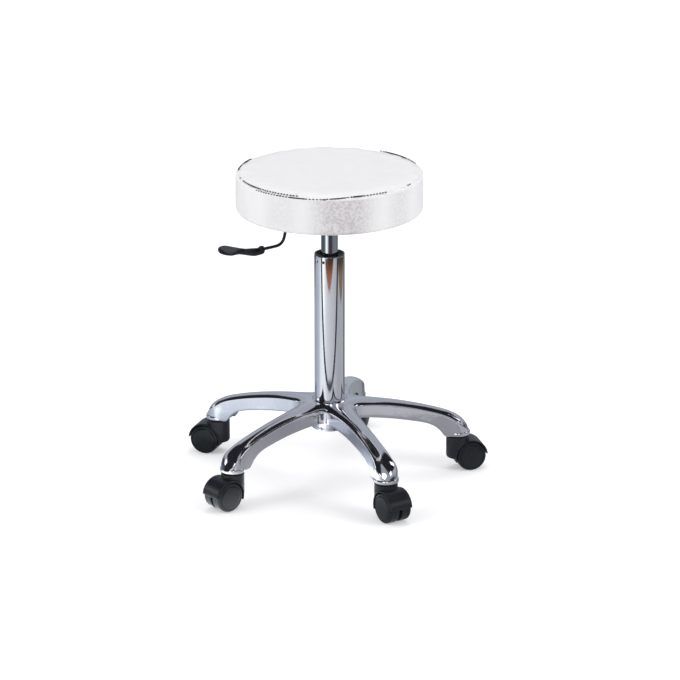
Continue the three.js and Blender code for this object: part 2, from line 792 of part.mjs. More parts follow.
// Bracket welded under the plate, with the tapered socket that takes the lift and the
// two ears that carry the lever.
function liftSocket() {
  const top = plateFoot - seatGap;
  const inner = bracketHalfWidth - bracketWall;
  const floorTop = bracketFloorHeight + bracketWall;
  const flangeFoot = top - bracketWall;
  const flangeReach = bracketHalfWidth + bracketFlange;
  const walls = [-1, 1].flatMap((side) => {
    const near = Math.min(side * inner, side * bracketHalfWidth);
    const far = Math.max(side * inner, side * bracketHalfWidth);
    const edge = Math.min(side * inner, side * flangeReach);
    const rim = Math.max(side * inner, side * flangeReach);
    return [
      block(-bracketBack, bracketEarReach, near, far, bracketFloorHeight, top),
      block(-bracketBack, bracketEarReach, edge, rim, flangeFoot, top),
    ];
  });
  const backFace = bracketWall - bracketBack;
  const back = block(-bracketBack, backFace, -inner, inner, bracketFloorHeight, top);
  const floor = block(-bracketBack, bracketFloorReach, -inner, inner, bracketFloorHeight, floorTop);
  const tube = revolve(
    [
      [0, socketFootHeight], [socketRadius - columnRimRound, socketFootHeight],
      [socketRadius, socketFootHeight + columnRimRound], [socketRadius, bracketFloorHeight],
      [socketNeckRadius, floorTop], [socketNeckRadius, socketTopHeight], [0, socketTopHeight],
    ],
    liftFacets,
  );
  const boreFoot = socketFootHeight - overrun;
  const bore = revolve(
    [
      [0, boreFoot], [liftTaperRadius(boreFoot) + seatGap, boreFoot],
      [liftTaperRadius(liftTopHeight) + seatGap, liftTopHeight], [0, liftTopHeight],
    ],
    liftFacets,
  );
  const reach = bracketHalfWidth + overrun;
  const holeRadius = pivotPinRadius + seatGap;
  const earHoles = crossBar(holeRadius, -reach, reach, pivotReach, pivotHeight, stemFacets);
  const body = join([...walls, back, floor, tube]);
  return piece("lift_socket", toGeometry(cut(body, [bore, earHoles])), blackSteel());
}

// Lever

function leverPivotPin() {
  const shank = bracketHalfWidth + seatGap;
  const head = shank + pivotPinHeadThickness;
  const pin = join([
    crossBar(pivotPinRadius, -head, head, pivotReach, pivotHeight, stemFacets),
    crossBar(pivotPinHeadRadius, shank, head, pivotReach, pivotHeight, stemFacets),
    crossBar(pivotPinHeadRadius, -head, -shank, pivotReach, pivotHeight, stemFacets),
  ]);
  return piece("lever_pivot_pin", toGeometry(pin), steel());
}

const leverElbow = new THREE.Vector3(leverElbowReach, 0, leverElbowHeight);
const handleRoot = new THREE.Vector3(handleReach, 0, handleRootHeight);
const leverEntry = handleRoot.clone().sub(leverElbow).normalize();

// The rod's middle line: out of the rocker, down at the upper bend, out at the elbow
// and on into the handle.
function leverPath() {
  const start = new THREE.Vector3(pivotReach, 0, pivotHeight);
  const bend = new THREE.Vector3(leverBendReach, 0, leverBendHeight);
  const end = handleRoot.clone().addScaledVector(leverEntry, handleBoreDepth - seatGap);
  const toward = (from, to, run) => {
    const way = to.clone().sub(from).normalize();
    return from.clone().addScaledVector(way, run);
  };
  const bendIn = toward(bend, start, leverBendRun);
  const bendOut = toward(bend, leverElbow, leverBendRun);
  const elbowIn = toward(leverElbow, bend, leverElbowRun);
  const elbowOut = toward(leverElbow, end, leverElbowRun);
  const path = new THREE.CurvePath();
  path.add(new THREE.LineCurve3(start, bendIn));
  path.add(new THREE.QuadraticBezierCurve3(bendIn, bend, bendOut));
  path.add(new THREE.LineCurve3(bendOut, elbowIn));
  path.add(new THREE.QuadraticBezierCurve3(elbowIn, leverElbow, elbowOut));
  path.add(new THREE.LineCurve3(elbowOut, end));
  return path;
}

function leverRod() {
  const section = new THREE.Shape();
  section.absarc(0, 0, leverRodRadius, 0, 2 * Math.PI, false);
  const rod = new THREE.ExtrudeGeometry(section, {
    steps: rodSteps, curveSegments: rodFacets / 2, bevelEnabled: false, extrudePath: leverPath(),
  });
  const half = bracketHalfWidth - bracketWall - runGap;
  const barFoot = pinTopHeight + seatGap;
  const bar = block(
    -pinRadius, pivotReach, -rockerBarWidth / 2, rockerBarWidth / 2,
    barFoot, barFoot + rockerBarThickness,
  );
  const rocker = crossBar(rockerRadius, -half, half, pivotReach, pivotHeight, smallFacets);
  const far = half + overrun;
  const bore = crossBar(pivotPinRadius + seatGap, -far, far, pivotReach, pivotHeight, stemFacets);
  const body = cut(join([rod, bar, rocker]), [bore]);
  return piece("lever_rod", toGeometry(body), blackSteel());
}

// Handle: a collar, a finger swell, a pinched neck and a flat paddle.
function leverHandle() {
  const along = new THREE.Vector3(1, 0, 0);
  const rings = handleShares.map(([reach, width, thickness, lift, twist]) => {
    const points = [];
    for (let i = 0; i < handleFacets; i++) {
      const angle = (i * 2 * Math.PI) / handleFacets;
      const y = Math.cos(angle) * width * handleHalfWidth;
      const z = (Math.sin(angle) * thickness + lift) * handleHalfThickness;
      const point = new THREE.Vector3(reach * handleLength, y, z);
      points.push(point.applyAxisAngle(along, -turn(twist * handleLeanTurn)));
    }
    return points;
  });
  const hole = disc(leverRodRadius + seatGap, -overrun, handleBoreDepth, stemFacets);
  const tilt = Math.acos(leverEntry.x) + turn(handleRiseTurn);
  const body = cut(toSolid(loft(rings)), [hole.rotateY(Math.PI / 2 + tilt)]);
  const mesh = piece("lever_handle", toGeometry(body), blackPlastic());
  mesh.position.copy(handleRoot);
  mesh.rotation.y = -turn(handleRiseTurn);
  return mesh;
}

// Casters

// Profile of a wheel as [radius, distance from the caster's middle]. The tread's
// facets, not their corners, lie at the wheel's radius.
function wheelGeometry() {
  const tread = wheelRadius / Math.cos(Math.PI / wheelFacets);
  const bore = axleRadius + seatGap;
  const boreEnd = axleHalfLength + runGap;
  const ringOuter = wheelRingRadius + wheelRingWidth / 2;
  const ringInner = wheelRingRadius - wheelRingWidth / 2;
  const profile = [
    [0, boreEnd], [bore, boreEnd], [bore, wheelInner], [tread, wheelInner],
    [tread, wheelOuter - wheelEdgeRound], [tread - wheelEdgeRound, wheelOuter],
    [ringOuter, wheelOuter], [wheelRingRadius, wheelOuter - wheelRingDepth],
    [ringInner, wheelOuter + wheelDome / 2], [0, wheelOuter + wheelDome],
  ];
  const points = profile.map(([radius, along]) => new THREE.Vector2(radius, along));
  return new THREE.LatheGeometry(points, wheelFacets, Math.PI / wheelFacets);
}

function casterWheel(number, side) {
  const sign = side === "left" ? 1 : -1;
  const mesh = piece(`caster_${number}_wheel_${side}`, wheelGeometry(), blackPlastic());
  mesh.position.set(casterTrail, 0, wheelRadius);
  mesh.rotation.z = sign > 0 ? 0 : Math.PI;
  return mesh;
}

// Arched cover over both wheels, joined to the neck round the stem and to the web
// between the wheels.
function casterHood(number) {
  const shape = new THREE.Shape();
  shape.absarc(0, 0, hoodRadius, turn(hoodRearTurn), Math.PI - turn(hoodFrontTurn), false);
  shape.lineTo(0, 0);
  shape.closePath();
  const arch = new THREE.ExtrudeGeometry(shape, {
    depth: 2 * hoodHalfWidth, bevelEnabled: false, curveSegments: hoodFacets / 2,
  });
  arch.rotateX(Math.PI / 2).translate(casterTrail, hoodHalfWidth, wheelRadius);
  const neck = revolve(
    [
      [0, neckFootHeight], [neckRadius - neckRound, neckFootHeight],
      [neckRadius - neckRound / 3, neckFootHeight + neckRound / 3],
      [neckRadius, neckFootHeight + neckRound], [neckRadius, neckTopHeight - neckTopRound],
      [neckRadius - neckTopRound, neckTopHeight], [0, neckTopHeight],
    ],
    tipFacets,
  );
  const boss = crossBar(
    hoodBossRadius, -hoodWebHalf, hoodWebHalf, casterTrail, wheelRadius, smallFacets,
  );
  const far = hoodHalfWidth + overrun;
  const voids = [[hoodWebHalf, far], [-far, -hoodWebHalf]].map(
    ([y0, y1]) => crossBar(hoodVoidRadius, y0, y1, casterTrail, wheelRadius, hoodFacets),
  );
  const axleHole = crossBar(
    axleRadius + seatGap, -hoodWebHalf - overrun, hoodWebHalf + overrun,
    casterTrail, wheelRadius, stemFacets,
  );
  const holeFoot = stemFootHeight - seatGap;
  const stemHole = disc(stemRadius + seatGap, holeFoot, neckTopHeight + overrun, stemFacets);
  const body = cut(join([arch, neck]), voids).add(toSolid(boss));
  const geometry = toGeometry(cut(body, [axleHole, stemHole]));
  return piece(`caster_${number}_hood`, geometry, blackPlastic());
}

function casterAxle(number) {
  const geometry = crossBar(
    axleRadius, -axleHalfLength, axleHalfLength, casterTrail, wheelRadius, stemFacets,
  );
  return piece(`caster_${number}_axle`, geometry, steel());
}

function casterStem(number) {
  const collarFoot = neckTopHeight + seatGap;
  const collarTop = collarFoot + stemCollarThickness;
  const top = tipHeight + stemReach - seatGap;
  const profile = [
    [0, stemFootHeight], [stemRadius, stemFootHeight], [stemRadius, collarFoot],
    [stemCollarRadius, collarFoot], [stemCollarRadius, collarTop], [stemRadius, collarTop],
    [stemRadius, top - stemTipRound], [stemRadius - stemTipRound, top], [0, top],
  ];
  return piece(`caster_${number}_stem`, revolve(profile, stemFacets), steel());
}

function stemSleeve(number) {
  const foot = tipHeight;
  const top = tipHeight + stemReach;
  const geometry = ring(stemRadius + seatGap, sleeveRadius, foot, top, smallFacets);
  return piece(`stem_sleeve_${number}`, geometry, steel());
}

function casterGroup(number) {
  const arm = turn(firstArmTurn + ((number - 1) * 360) / armCount);
  const place = new THREE.Group();
  place.position.set(casterCircle * Math.cos(arm), casterCircle * Math.sin(arm), 0);
  place.add(stemSleeve(number));
  const swivel = new THREE.Group();
  swivel.rotation.z = turn(casterTurns[number - 1]);
  swivel.add(casterHood(number), casterStem(number), casterAxle(number));
  swivel.add(casterWheel(number, "left"), casterWheel(number, "right"));
  place.add(swivel);
  return place;
}

// Assembly

function baseGroup() {
  const group = new THREE.Group();
  group.add(starBase(), columnTube(), guideBush());
  group.add(washer("thrust_washer_lower", lowerWasherFoot), thrustBearing());
  group.add(washer("thrust_washer_upper", upperWasherFoot));
  group.add(washer("foot_washer", footWasherTop - washerThickness));
  group.add(retainingClip(), pistonRod(), piston());
  return group;
}

function seatGroup() {
  const group = new THREE.Group();
  group.rotation.z = turn(leverTurn);
  group.add(pressureTube(), releasePin(), seatCushion(), seatBoard(), seatPlate(), liftSocket());
  boltPlaces().forEach((place, index) => group.add(plateBolt(index + 1, place)));
  group.add(leverPivotPin(), leverRod(), leverHandle());
  return group;
}

function buildStool() {
  const stool = new THREE.Group();
  stool.position.set(columnX, columnY, 0);
  stool.add(baseGroup(), seatGroup());
  for (let number = 1; number <= armCount; number++) {
    stool.add(casterGroup(number));
  }
  return stool;
}

export default buildStool();
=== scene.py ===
import json
import math
import random

import bmesh
import bpy
import numpy as np
from mathutils import Matrix, Vector


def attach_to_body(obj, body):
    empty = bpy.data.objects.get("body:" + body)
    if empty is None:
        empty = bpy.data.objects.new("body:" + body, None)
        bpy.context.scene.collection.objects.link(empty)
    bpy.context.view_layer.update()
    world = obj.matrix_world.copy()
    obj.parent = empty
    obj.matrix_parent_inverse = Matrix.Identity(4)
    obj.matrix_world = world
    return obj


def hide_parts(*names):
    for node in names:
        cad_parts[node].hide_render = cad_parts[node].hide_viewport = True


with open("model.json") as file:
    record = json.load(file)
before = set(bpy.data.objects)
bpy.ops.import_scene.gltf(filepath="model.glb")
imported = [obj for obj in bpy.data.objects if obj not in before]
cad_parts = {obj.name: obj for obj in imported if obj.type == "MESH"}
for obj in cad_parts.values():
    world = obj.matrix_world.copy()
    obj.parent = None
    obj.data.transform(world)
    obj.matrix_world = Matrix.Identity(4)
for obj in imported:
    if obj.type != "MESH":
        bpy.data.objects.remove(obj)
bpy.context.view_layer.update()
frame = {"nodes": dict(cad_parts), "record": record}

rng = random.Random(7)

# Shapes are written in millimetres in the part's frame and become metres in mesh_of.
MM = 0.001
COLUMN = (-12.35, -8.2)
ARM_COUNT = 5
FIRST_ARM = math.radians(7.1)
ARM_ANGLES = [FIRST_ARM + k * 2 * math.pi / ARM_COUNT for k in range(ARM_COUNT)]
CASTER_CIRCLE = 215.0
CASTER_TURNS = [15, 77, 160, 220, 303]
LEVER_TURN = math.radians(207)
TIP_HEIGHT = 62.0
HUB_TOP = 135.0
SEAM_HEIGHT = 521.0
SEAT_RADIUS = 152.5


# Mesh helpers

class Shape:
    """Points and faces gathered from several simple bodies."""

    def __init__(self):
        self.points = []
        self.faces = []

    def add(self, points, faces, matrix=None):
        start = len(self.points)
        if matrix is not None:
            points = [matrix @ Vector(p) for p in points]
        self.points += [tuple(p) for p in points]
        self.faces += [tuple(i + start for i in face) for face in faces]
        return self


def mesh_of(name, points, faces):
    mesh = bpy.data.meshes.new(name)
    mesh.from_pydata([tuple(c * MM for c in p) for p in points], [], faces)
    return mesh


def shade_smooth(mesh, sharp=0):
    """Smooth shading; edges that bend by more than sharp degrees stay sharp."""
    mesh.polygons.foreach_set("use_smooth", [True] * len(mesh.polygons))
    if sharp:
        mesh.set_sharp_from_angle(angle=math.radians(sharp))


def weld(mesh, distance):
    """Joins points that lie together and turns the faces outwards."""
    work = bmesh.new()
    work.from_mesh(mesh)
    bmesh.ops.remove_doubles(work, verts=work.verts, dist=distance)
    bmesh.ops.recalc_face_normals(work, faces=work.faces)
    work.to_mesh(mesh)
    work.free()


def link_object(name, data):
    obj = bpy.data.objects.new(name, data)
    bpy.context.collection.objects.link(obj)
    return obj


def attach(name, mesh, body, replaced=None):
    """A piece that rides on a body and may stand in for a node of the part."""
    obj = link_object(name, mesh)
    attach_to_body(obj, body)
    if replaced:
        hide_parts(replaced)
    return obj


def new_piece(name, shape, body, slot, replaced=None, sharp=35, material=None):
    mesh = mesh_of(name, shape.points, shape.faces)
    mesh.validate()
    mesh.materials.append(material or MATERIALS[slot])
    shade_smooth(mesh, sharp)
    return attach(name, mesh, body, replaced)


def subdivide(obj):
    modifier = obj.modifiers.new("Subdivision", "SUBSURF")
    modifier.levels = modifier.render_levels = 1


def place(x=0.0, y=0.0, z=0.0, turn=0.0):
    return Matrix.Translation((x, y, z)) @ Matrix.Rotation(turn, 4, "Z")


def around(radius, angle):
    """Plan position at a distance and an angle from the column's axis."""
    return COLUMN[0] + radius * math.cos(angle), COLUMN[1] + radius * math.sin(angle)


def rounded(profile, radius, steps=3, closed=False):
    """Rounds the corners of a profile. radius is one number, or one for each point."""
    straight = -0.985
    count = len(profile)
    radii = radius if isinstance(radius, (list, tuple)) else [radius] * count
    out = []
    for i in range(count):
        corner = np.array(profile[i], float)
        if (not closed and i in (0, count - 1)) or radii[i] <= 0:
            out.append(tuple(corner))
            continue
        before = np.array(profile[i - 1], float) - corner
        after = np.array(profile[(i + 1) % count], float) - corner
        run_a, run_b = np.linalg.norm(before), np.linalg.norm(after)
        cosine = float(np.dot(before, after) / (run_a * run_b))
        if cosine < straight:
            out.append(tuple(corner))
            continue
        half = math.acos(max(-1.0, min(1.0, cosine))) / 2
        reach = min(radii[i] / math.tan(half), 0.48 * run_a, 0.48 * run_b)
        first = corner + before / run_a * reach
        last = corner + after / run_b * reach
        for step in range(steps + 1):
            t = step / steps
            point = (1 - t) ** 2 * first + 2 * t * (1 - t) * corner + t * t * last
            out.append(tuple(point))
    return out


def lathe(profile, segments, closed=False, wobble=None):
    """Turns a profile of (radius, height) about Z; a point on the axis becomes a pole."""
    points, rows = [], []
    for radius, height in profile:
        if radius < 1e-6:
            rows.append([len(points)] * segments)
            points.append((0.0, 0.0, height))
            continue
        row = []
        for k in range(segments):
            angle = 2 * math.pi * k / segments
            r, h = wobble(radius, height, angle) if wobble else (radius, height)
            row.append(len(points))
            points.append((r * math.cos(angle), r * math.sin(angle), h))
        rows.append(row)
    faces = []
    pairs = list(zip(rows, rows[1:])) + ([(rows[-1], rows[0])] if closed else [])
    for low, high in pairs:
        for k in range(segments):
            n = (k + 1) % segments
            face = [low[k], low[n], high[n], high[k]]
            face = [v for i, v in enumerate(face) if v not in face[:i]]
            if len(face) > 2:
                faces.append(tuple(face))
    return points, faces


def turned(profile, segments, wobble=None):
    """A closed profile turned about the column's axis."""
    return Shape().add(*lathe(profile, segments, True, wobble), place(*COLUMN))


def skin(rings):
    """Quads between equal rings of points, with flat ends."""
    count = len(rings[0])
    points = [p for ring in rings for p in ring]
    last = (len(rings) - 1) * count
    faces = []
    for start in range(0, last, count):
        for i in range(count):
            a, b = start + i, start + (i + 1) % count
            faces.append((a, b, b + count, a + count))
    faces.append(tuple(reversed(range(count))))
    faces.append(tuple(range(last, last + count)))
    return points, faces


def tube(path, radius, sides):
    """A round bar along a list of points."""
    path = [Vector(p) for p in path]
    rings = []
    side = None
    for i, point in enumerate(path):
        ahead = (path[min(i + 1, len(path) - 1)] - path[max(i - 1, 0)]).normalized()
        if side is None:
            side = ahead.orthogonal().normalized()
        side = (side - ahead * side.dot(ahead)).normalized()
        up = ahead.cross(side)
        angles = [2 * math.pi * k / sides for k in range(sides)]
        rings.append([point + radius * (math.cos(angle) * side + math.sin(angle) * up)
                      for angle in angles])
    return skin(rings)


def catmull(points, per_span=12):
    """A smooth curve through points of any number of coordinates."""
    pts = [np.array(p, float) for p in points]
    pts = [2 * pts[0] - pts[1]] + pts + [2 * pts[-1] - pts[-2]]
    out = []
    for i in range(1, len(pts) - 2):
        p0, p1, p2, p3 = pts[i - 1:i + 3]
        for k in range(per_span):
            t = k / per_span
            out.append(0.5 * (2 * p1 + (p2 - p0) * t + (2 * p0 - 5 * p1 + 4 * p2 - p3) * t * t
                              + (3 * p1 - p0 - 3 * p2 + p3) * t ** 3))
    out.append(pts[-2])
    return np.array(out)


def smooth(low, high, value):
    t = min(max((value - low) / (high - low), 0.0), 1.0)
    return t * t * (3 - 2 * t)


# Material helpers

class Wire:
    """An output of a node. Arithmetic with it adds Math nodes."""

    def __init__(self, socket):
        self.socket = socket
        self.tree = socket.id_data

    def __add__(self, other):
        return calculate("ADD", self, other)

    def __sub__(self, other):
        return calculate("SUBTRACT", self, other)

    def __mul__(self, other):
        return calculate("MULTIPLY", self, other)

    def __abs__(self):
        return calculate("ABSOLUTE", self)

    __radd__ = __add__


def feed(socket, value):
    """Links a wire to an input, or sets the input's own value."""
    if isinstance(value, Wire):
        value.tree.links.new(value.socket, socket)
    elif socket.type == "RGBA":
        socket.default_value = (*value, 1.0)
    else:
        socket.default_value = value


def node(tree, kind, *inputs, output=0, **named):
    """Adds a node and returns one of its outputs. Inputs come in order or by name, and
    other names are the node's settings."""
    n = tree.nodes.new(kind)
    for name, value in named.items():
        if name in n.inputs:
            feed(n.inputs[name], value)
        else:
            setattr(n, name, value)
    for socket, value in zip(n.inputs, inputs):
        feed(socket, value)
    return Wire(n.outputs[output])


def calculate(operation, *values):
    tree = next(value.tree for value in values if isinstance(value, Wire))
    return node(tree, "ShaderNodeMath", *values, operation=operation)


def largest(first, second):
    return calculate("MAXIMUM", first, second)


def object_place(tree, stretch=(1.0, 1.0, 1.0)):
    """Coordinates of the object itself, which move with it."""
    spot = node(tree, "ShaderNodeTexCoord", output="Object")
    return node(tree, "ShaderNodeMapping", spot, Scale=stretch)


def noise(tree, scale, detail=2.0, stretch=(1.0, 1.0, 1.0), roughness=0.5):
    return node(tree, "ShaderNodeTexNoise", object_place(tree, stretch), output="Fac",
                Scale=scale, Detail=detail, Roughness=roughness)


def wave(tree, scale, distortion, **settings):
    return node(tree, "ShaderNodeTexWave", object_place(tree), output="Fac", Scale=scale,
                Distortion=distortion, **settings)


def ramp(value, stops):
    color = node(value.tree, "ShaderNodeValToRGB", value)
    elements = color.socket.node.color_ramp.elements
    elements.remove(elements[1])
    elements[0].position = stops[0][0]
    elements[0].color = (*stops[0][1], 1.0)
    for position, tone in stops[1:]:
        elements.new(position).color = (*tone, 1.0)
    return color


def grey_ramp(value, stops):
    return ramp(value, [(position, (tone,) * 3) for position, tone in stops])


def round_ramp(degrees, stops):
    """A ramp of colours round the stool, at bearings from -180 to 180 degrees."""
    return ramp(degrees * (1 / 360) + 0.5, [((at + 180) / 360, tone) for at, tone in stops])


def step_between(value, low, high):
    """0 at low and 1 at high, with a soft rise between."""
    return node(value.tree, "ShaderNodeMapRange", value, low, high,
                interpolation_type="SMOOTHSTEP")


def band(value, low, high, soft):
    rise = step_between(value, low - soft, low + soft)
    return rise * step_between(value, high + soft, high - soft)


def bearing(vector):
    """Degrees round Z from -Y towards +X, distance from Z, and height of a vector."""
    x = node(vector.tree, "ShaderNodeSeparateXYZ", vector)
    y, z = (Wire(socket) for socket in x.socket.node.outputs[1:])
    angle = calculate("ARCTAN2", x, y * -1.0)
    flat = node(vector.tree, "ShaderNodeCombineXYZ", x, y)
    length = node(vector.tree, "ShaderNodeVectorMath", flat, output="Value",
                  operation="LENGTH")
    return angle * (180 / math.pi), length, z


def mixed(share, first, second, blend="MIX"):
    wires = [value for value in (share, first, second) if isinstance(value, Wire)]
    color = node(wires[0].tree, "ShaderNodeMix", share, data_type="RGBA", output="Result",
                 blend_type=blend)
    for name, value in (("A", first), ("B", second)):
        feed(color.socket.node.inputs[name], value)
    return color


def material(name, color, metallic, roughness):
    """A material with plain values, which dress starts from."""
    mat = bpy.data.materials.new(name)
    mat.use_nodes = True
    shader = mat.node_tree.nodes["Principled BSDF"]
    feed(shader.inputs["Base Color"], color)
    feed(shader.inputs["Metallic"], metallic)
    feed(shader.inputs["Roughness"], roughness)
    return mat, mat.node_tree


def dress(mat, tint, height, distance, strength, rough=None):
    """Gives a material its colour, its relief and, where given, its roughness."""
    shader = mat.node_tree.nodes["Principled BSDF"]
    feed(shader.inputs["Base Color"], tint)
    if rough:
        feed(shader.inputs["Roughness"], rough)
    feed(shader.inputs["Normal"], node(mat.node_tree, "ShaderNodeBump", Height=height,
                                       Distance=distance, Strength=strength))
    return mat


# Materials

def chrome_tube():
    """Bright plated tube: fine lengthwise polishing lines and a little haze."""
    mat, tree = material("chromed_tube", (0.80, 0.81, 0.84), 1.0, 0.06)
    lines = noise(tree, 9.0, 3.0, (60.0, 60.0, 1.2))
    haze = noise(tree, 22.0, 4.0)
    tint = ramp(haze, [(0.3, (0.77, 0.78, 0.82)), (0.7, (0.83, 0.84, 0.86))])
    return dress(mat, tint, lines, 0.00003, 0.35, lines * 0.06 + haze * 0.05)


def polished_cast():
    """Buffed and plated casting: soft waviness from the polishing wheel."""
    mat, tree = material("polished_cast", (0.80, 0.80, 0.84), 1.0, 0.08)
    waves = noise(tree, 34.0)
    fine = noise(tree, 420.0, 3.0)
    cloud = noise(tree, 11.0, 3.0)
    tint = ramp(cloud, [(0.3, (0.76, 0.76, 0.81)), (0.7, (0.84, 0.84, 0.87))])
    return dress(mat, tint, waves + fine * 0.03, 0.0007, 0.5, fine * 0.07 + cloud * 0.08)


def bright_steel():
    """Zinc-plated small parts with turning marks and faint blotches."""
    mat, tree = material("bright_steel", (0.55, 0.56, 0.58), 1.0, 0.3)
    marks = noise(tree, 30.0, 2.0, (4.0, 4.0, 90.0))
    blot = noise(tree, 120.0, 4.0)
    tint = ramp(blot, [(0.35, (0.47, 0.47, 0.46)), (0.65, (0.62, 0.62, 0.64))])
    return dress(mat, tint, marks, 0.00008, 0.5, marks * 0.25 + blot * 0.3)


def black_steel():
    """Powder-coated steel: orange peel and slightly worn, dusty patches."""
    mat, tree = material("black_steel", (0.018, 0.018, 0.02), 0.0, 0.4)
    peel = noise(tree, 900.0)
    dust = noise(tree, 28.0, 5.0)
    tint = ramp(dust, [(0.4, (0.014, 0.014, 0.016)), (0.75, (0.04, 0.04, 0.042))])
    return dress(mat, tint, peel, 0.0002, 0.5, dust * 0.35 + peel * 0.3)


def black_plastic(name, dark, pale, rough_low, rough_span, grain):
    """Moulded plastic with a spark-eroded grain, rougher patches worn by handling and a painted
    sheen of random paler, bluer patches in its colour.
    """
    mat, tree = material(name, dark, 0.0, rough_low)
    speck = noise(tree, grain, 3.0)
    painted_sheen_and_wear = noise(tree, 24.0, 4.0)
    # The paler tone is painted sheen; the same patches are also rougher, from wear.
    tint = ramp(painted_sheen_and_wear, [(0.35, dark), (0.72, pale)])
    worn = grey_ramp(painted_sheen_and_wear, [(0.2, rough_low), (0.8, rough_low + 0.12)])
    return dress(mat, tint, speck, 0.00008, 0.45, speck * rough_span + worn)


# Painted shade patches on the seat's band: bearing of the middle, half width in degrees, depth
PAINTED_SHADE_PATCHES = [(8, 17, 1.0), (48, 9, 0.4), (-31, 11, 0.3), (140, 22, 0.5)]


def white_vinyl():
    """Coated cloth: small pebbled cells, creases of a finer grain, a soft shine and speckled
    patches of painted shade on the band.
    """
    mat, tree = material("white_vinyl", (0.87, 0.86, 0.865), 0.0, 0.42)
    cells = node(tree, "ShaderNodeTexVoronoi", object_place(tree), feature="SMOOTH_F1",
                 Scale=780.0)
    crease = noise(tree, 1500.0, 3.0)
    soft = noise(tree, 38.0, 3.0)
    shade_speckle = noise(tree, 240.0)
    from_column = node(tree, "ShaderNodeVectorMath", object_place(tree),
                       (COLUMN[0] * MM, COLUMN[1] * MM, 0), operation="SUBTRACT")
    angle, _, height = bearing(from_column)
    # Darker, pinkish, speckled patches on the band below the seam: painted shade.
    painted_shade = sum(step_between(abs(angle - centre), half * 1.5, half * 0.3) * depth
               for centre, half, depth in PAINTED_SHADE_PATCHES)
    side_panel = step_between(height, 0.521, 0.517)
    painted_shade = painted_shade * side_panel * grey_ramp(shade_speckle, [(0.36, 1.0), (0.62, 0.45)])
    tint = ramp(soft, [(0.3, (0.865, 0.862, 0.864)), (0.7, (0.89, 0.889, 0.889))])
    tint = mixed(painted_shade, tint, (0.56, 0.53, 0.545))
    tint = mixed(1.0, tint, grey_ramp(cells, [(0.1, 1.0), (0.8, 0.95)]), "MULTIPLY")
    rough = grey_ramp(soft, [(0.2, 0.3), (0.8, 0.4)]) + crease * 0.12
    return dress(mat, tint, cells + crease * 0.35, 0.00035, 0.55, rough)


# Makes the white thread, and the painted shade of the needle holes too.
def thread(name, color):
    mat, tree = material(name, color, 0.0, 0.7)
    twist = wave(tree, 420.0, 1.0)
    pale = tuple(min(1.0, c * 1.3 + 0.01) for c in color)
    return dress(mat, ramp(twist, [(0.2, color), (0.8, pale)]), twist, 0.0002, 0.6)


def plywood():
    """Near-black plywood: long grain on the face and plies round the edge."""
    mat, tree = material("plywood", (0.03, 0.026, 0.022), 0.0, 0.6)
    grain = noise(tree, 16.0, 6.0, (1.0, 14.0, 1.0), 0.6)
    plies = wave(tree, 75.0, 0.6, bands_direction="Z")
    tint = ramp(grain * 0.75 + plies * 0.25, [
        (0.25, (0.012, 0.010, 0.008)), (0.5, (0.026, 0.020, 0.016)),
        (0.75, (0.060, 0.045, 0.032))])
    return dress(mat, tint, grain, 0.0003, 0.4)


MATERIALS = {
    "chromed_tube": chrome_tube(),
    "polished_cast": polished_cast(),
    "bright_steel": bright_steel(),
    "black_steel": black_steel(),
    "black_plastic": black_plastic("black_plastic", (0.006, 0.007, 0.010),
                                   (0.014, 0.016, 0.024), 0.2, 0.14, 1400.0),
    "wheel_plastic": black_plastic("wheel_plastic", (0.0035, 0.006, 0.007),
                                   (0.008, 0.013, 0.015), 0.16, 0.12, 1100.0),
    "white_vinyl": white_vinyl(),
    "plywood": plywood(),
}
# The dark material is painted shade for the needle holes and the gaping seam.
PAINTED_SEAM_SHADE = thread("painted_seam_shade", (0.016, 0.015, 0.017))
WHITE_THREAD = thread("white_thread", (0.80, 0.795, 0.80))

for entry in frame["record"]["subparts"]:
    for slot in frame["nodes"][entry["node"]].material_slots:
        slot.material = MATERIALS[entry["material_slot"]]


# Star base

# The curves give height or half width by reach, each as a share of its full value.
ARM_RISE = HUB_TOP - TIP_HEIGHT
ARM_HALF = 16.0
ARM_WALL = 3.4
TIP_RADIUS = 20.0
ARM_TOP = catmull([(0.09, 0.985), (0.265, 0.955), (0.42, 0.91), (0.576, 0.832), (0.736, 0.726),
                   (0.892, 0.59), (0.969, 0.49), (1.033, 0.37), (1.072, 0.24), (1.093, 0.13)])
ARM_FOOT = catmull([(0.09, 0.62), (0.25, 0.59), (0.42, 0.526), (0.576, 0.452), (0.736, 0.356),
                    (0.814, 0.26), (0.87, 0.11), (0.9, 0.0), (1.1, 0.0)])
ARM_SIDE = catmull([(0.09, 2.2), (0.16, 1.86), (0.25, 1.46), (0.35, 1.2), (0.465, 1.04),
                    (0.6, 0.97), (0.8, 0.97), (0.9, 1.04), (1.0, 1.14)])


def along_arm(curve, reach):
    return np.interp(reach / CASTER_CIRCLE, curve[:, 0], curve[:, 1])


def arm_top(reach):
    return TIP_HEIGHT + ARM_RISE * along_arm(ARM_TOP, reach)


def arm_foot(reach):
    return TIP_HEIGHT + ARM_RISE * np.maximum(along_arm(ARM_FOOT, reach), 0.0)


def arm_side(reach):
    return ARM_HALF * along_arm(ARM_SIDE, reach)


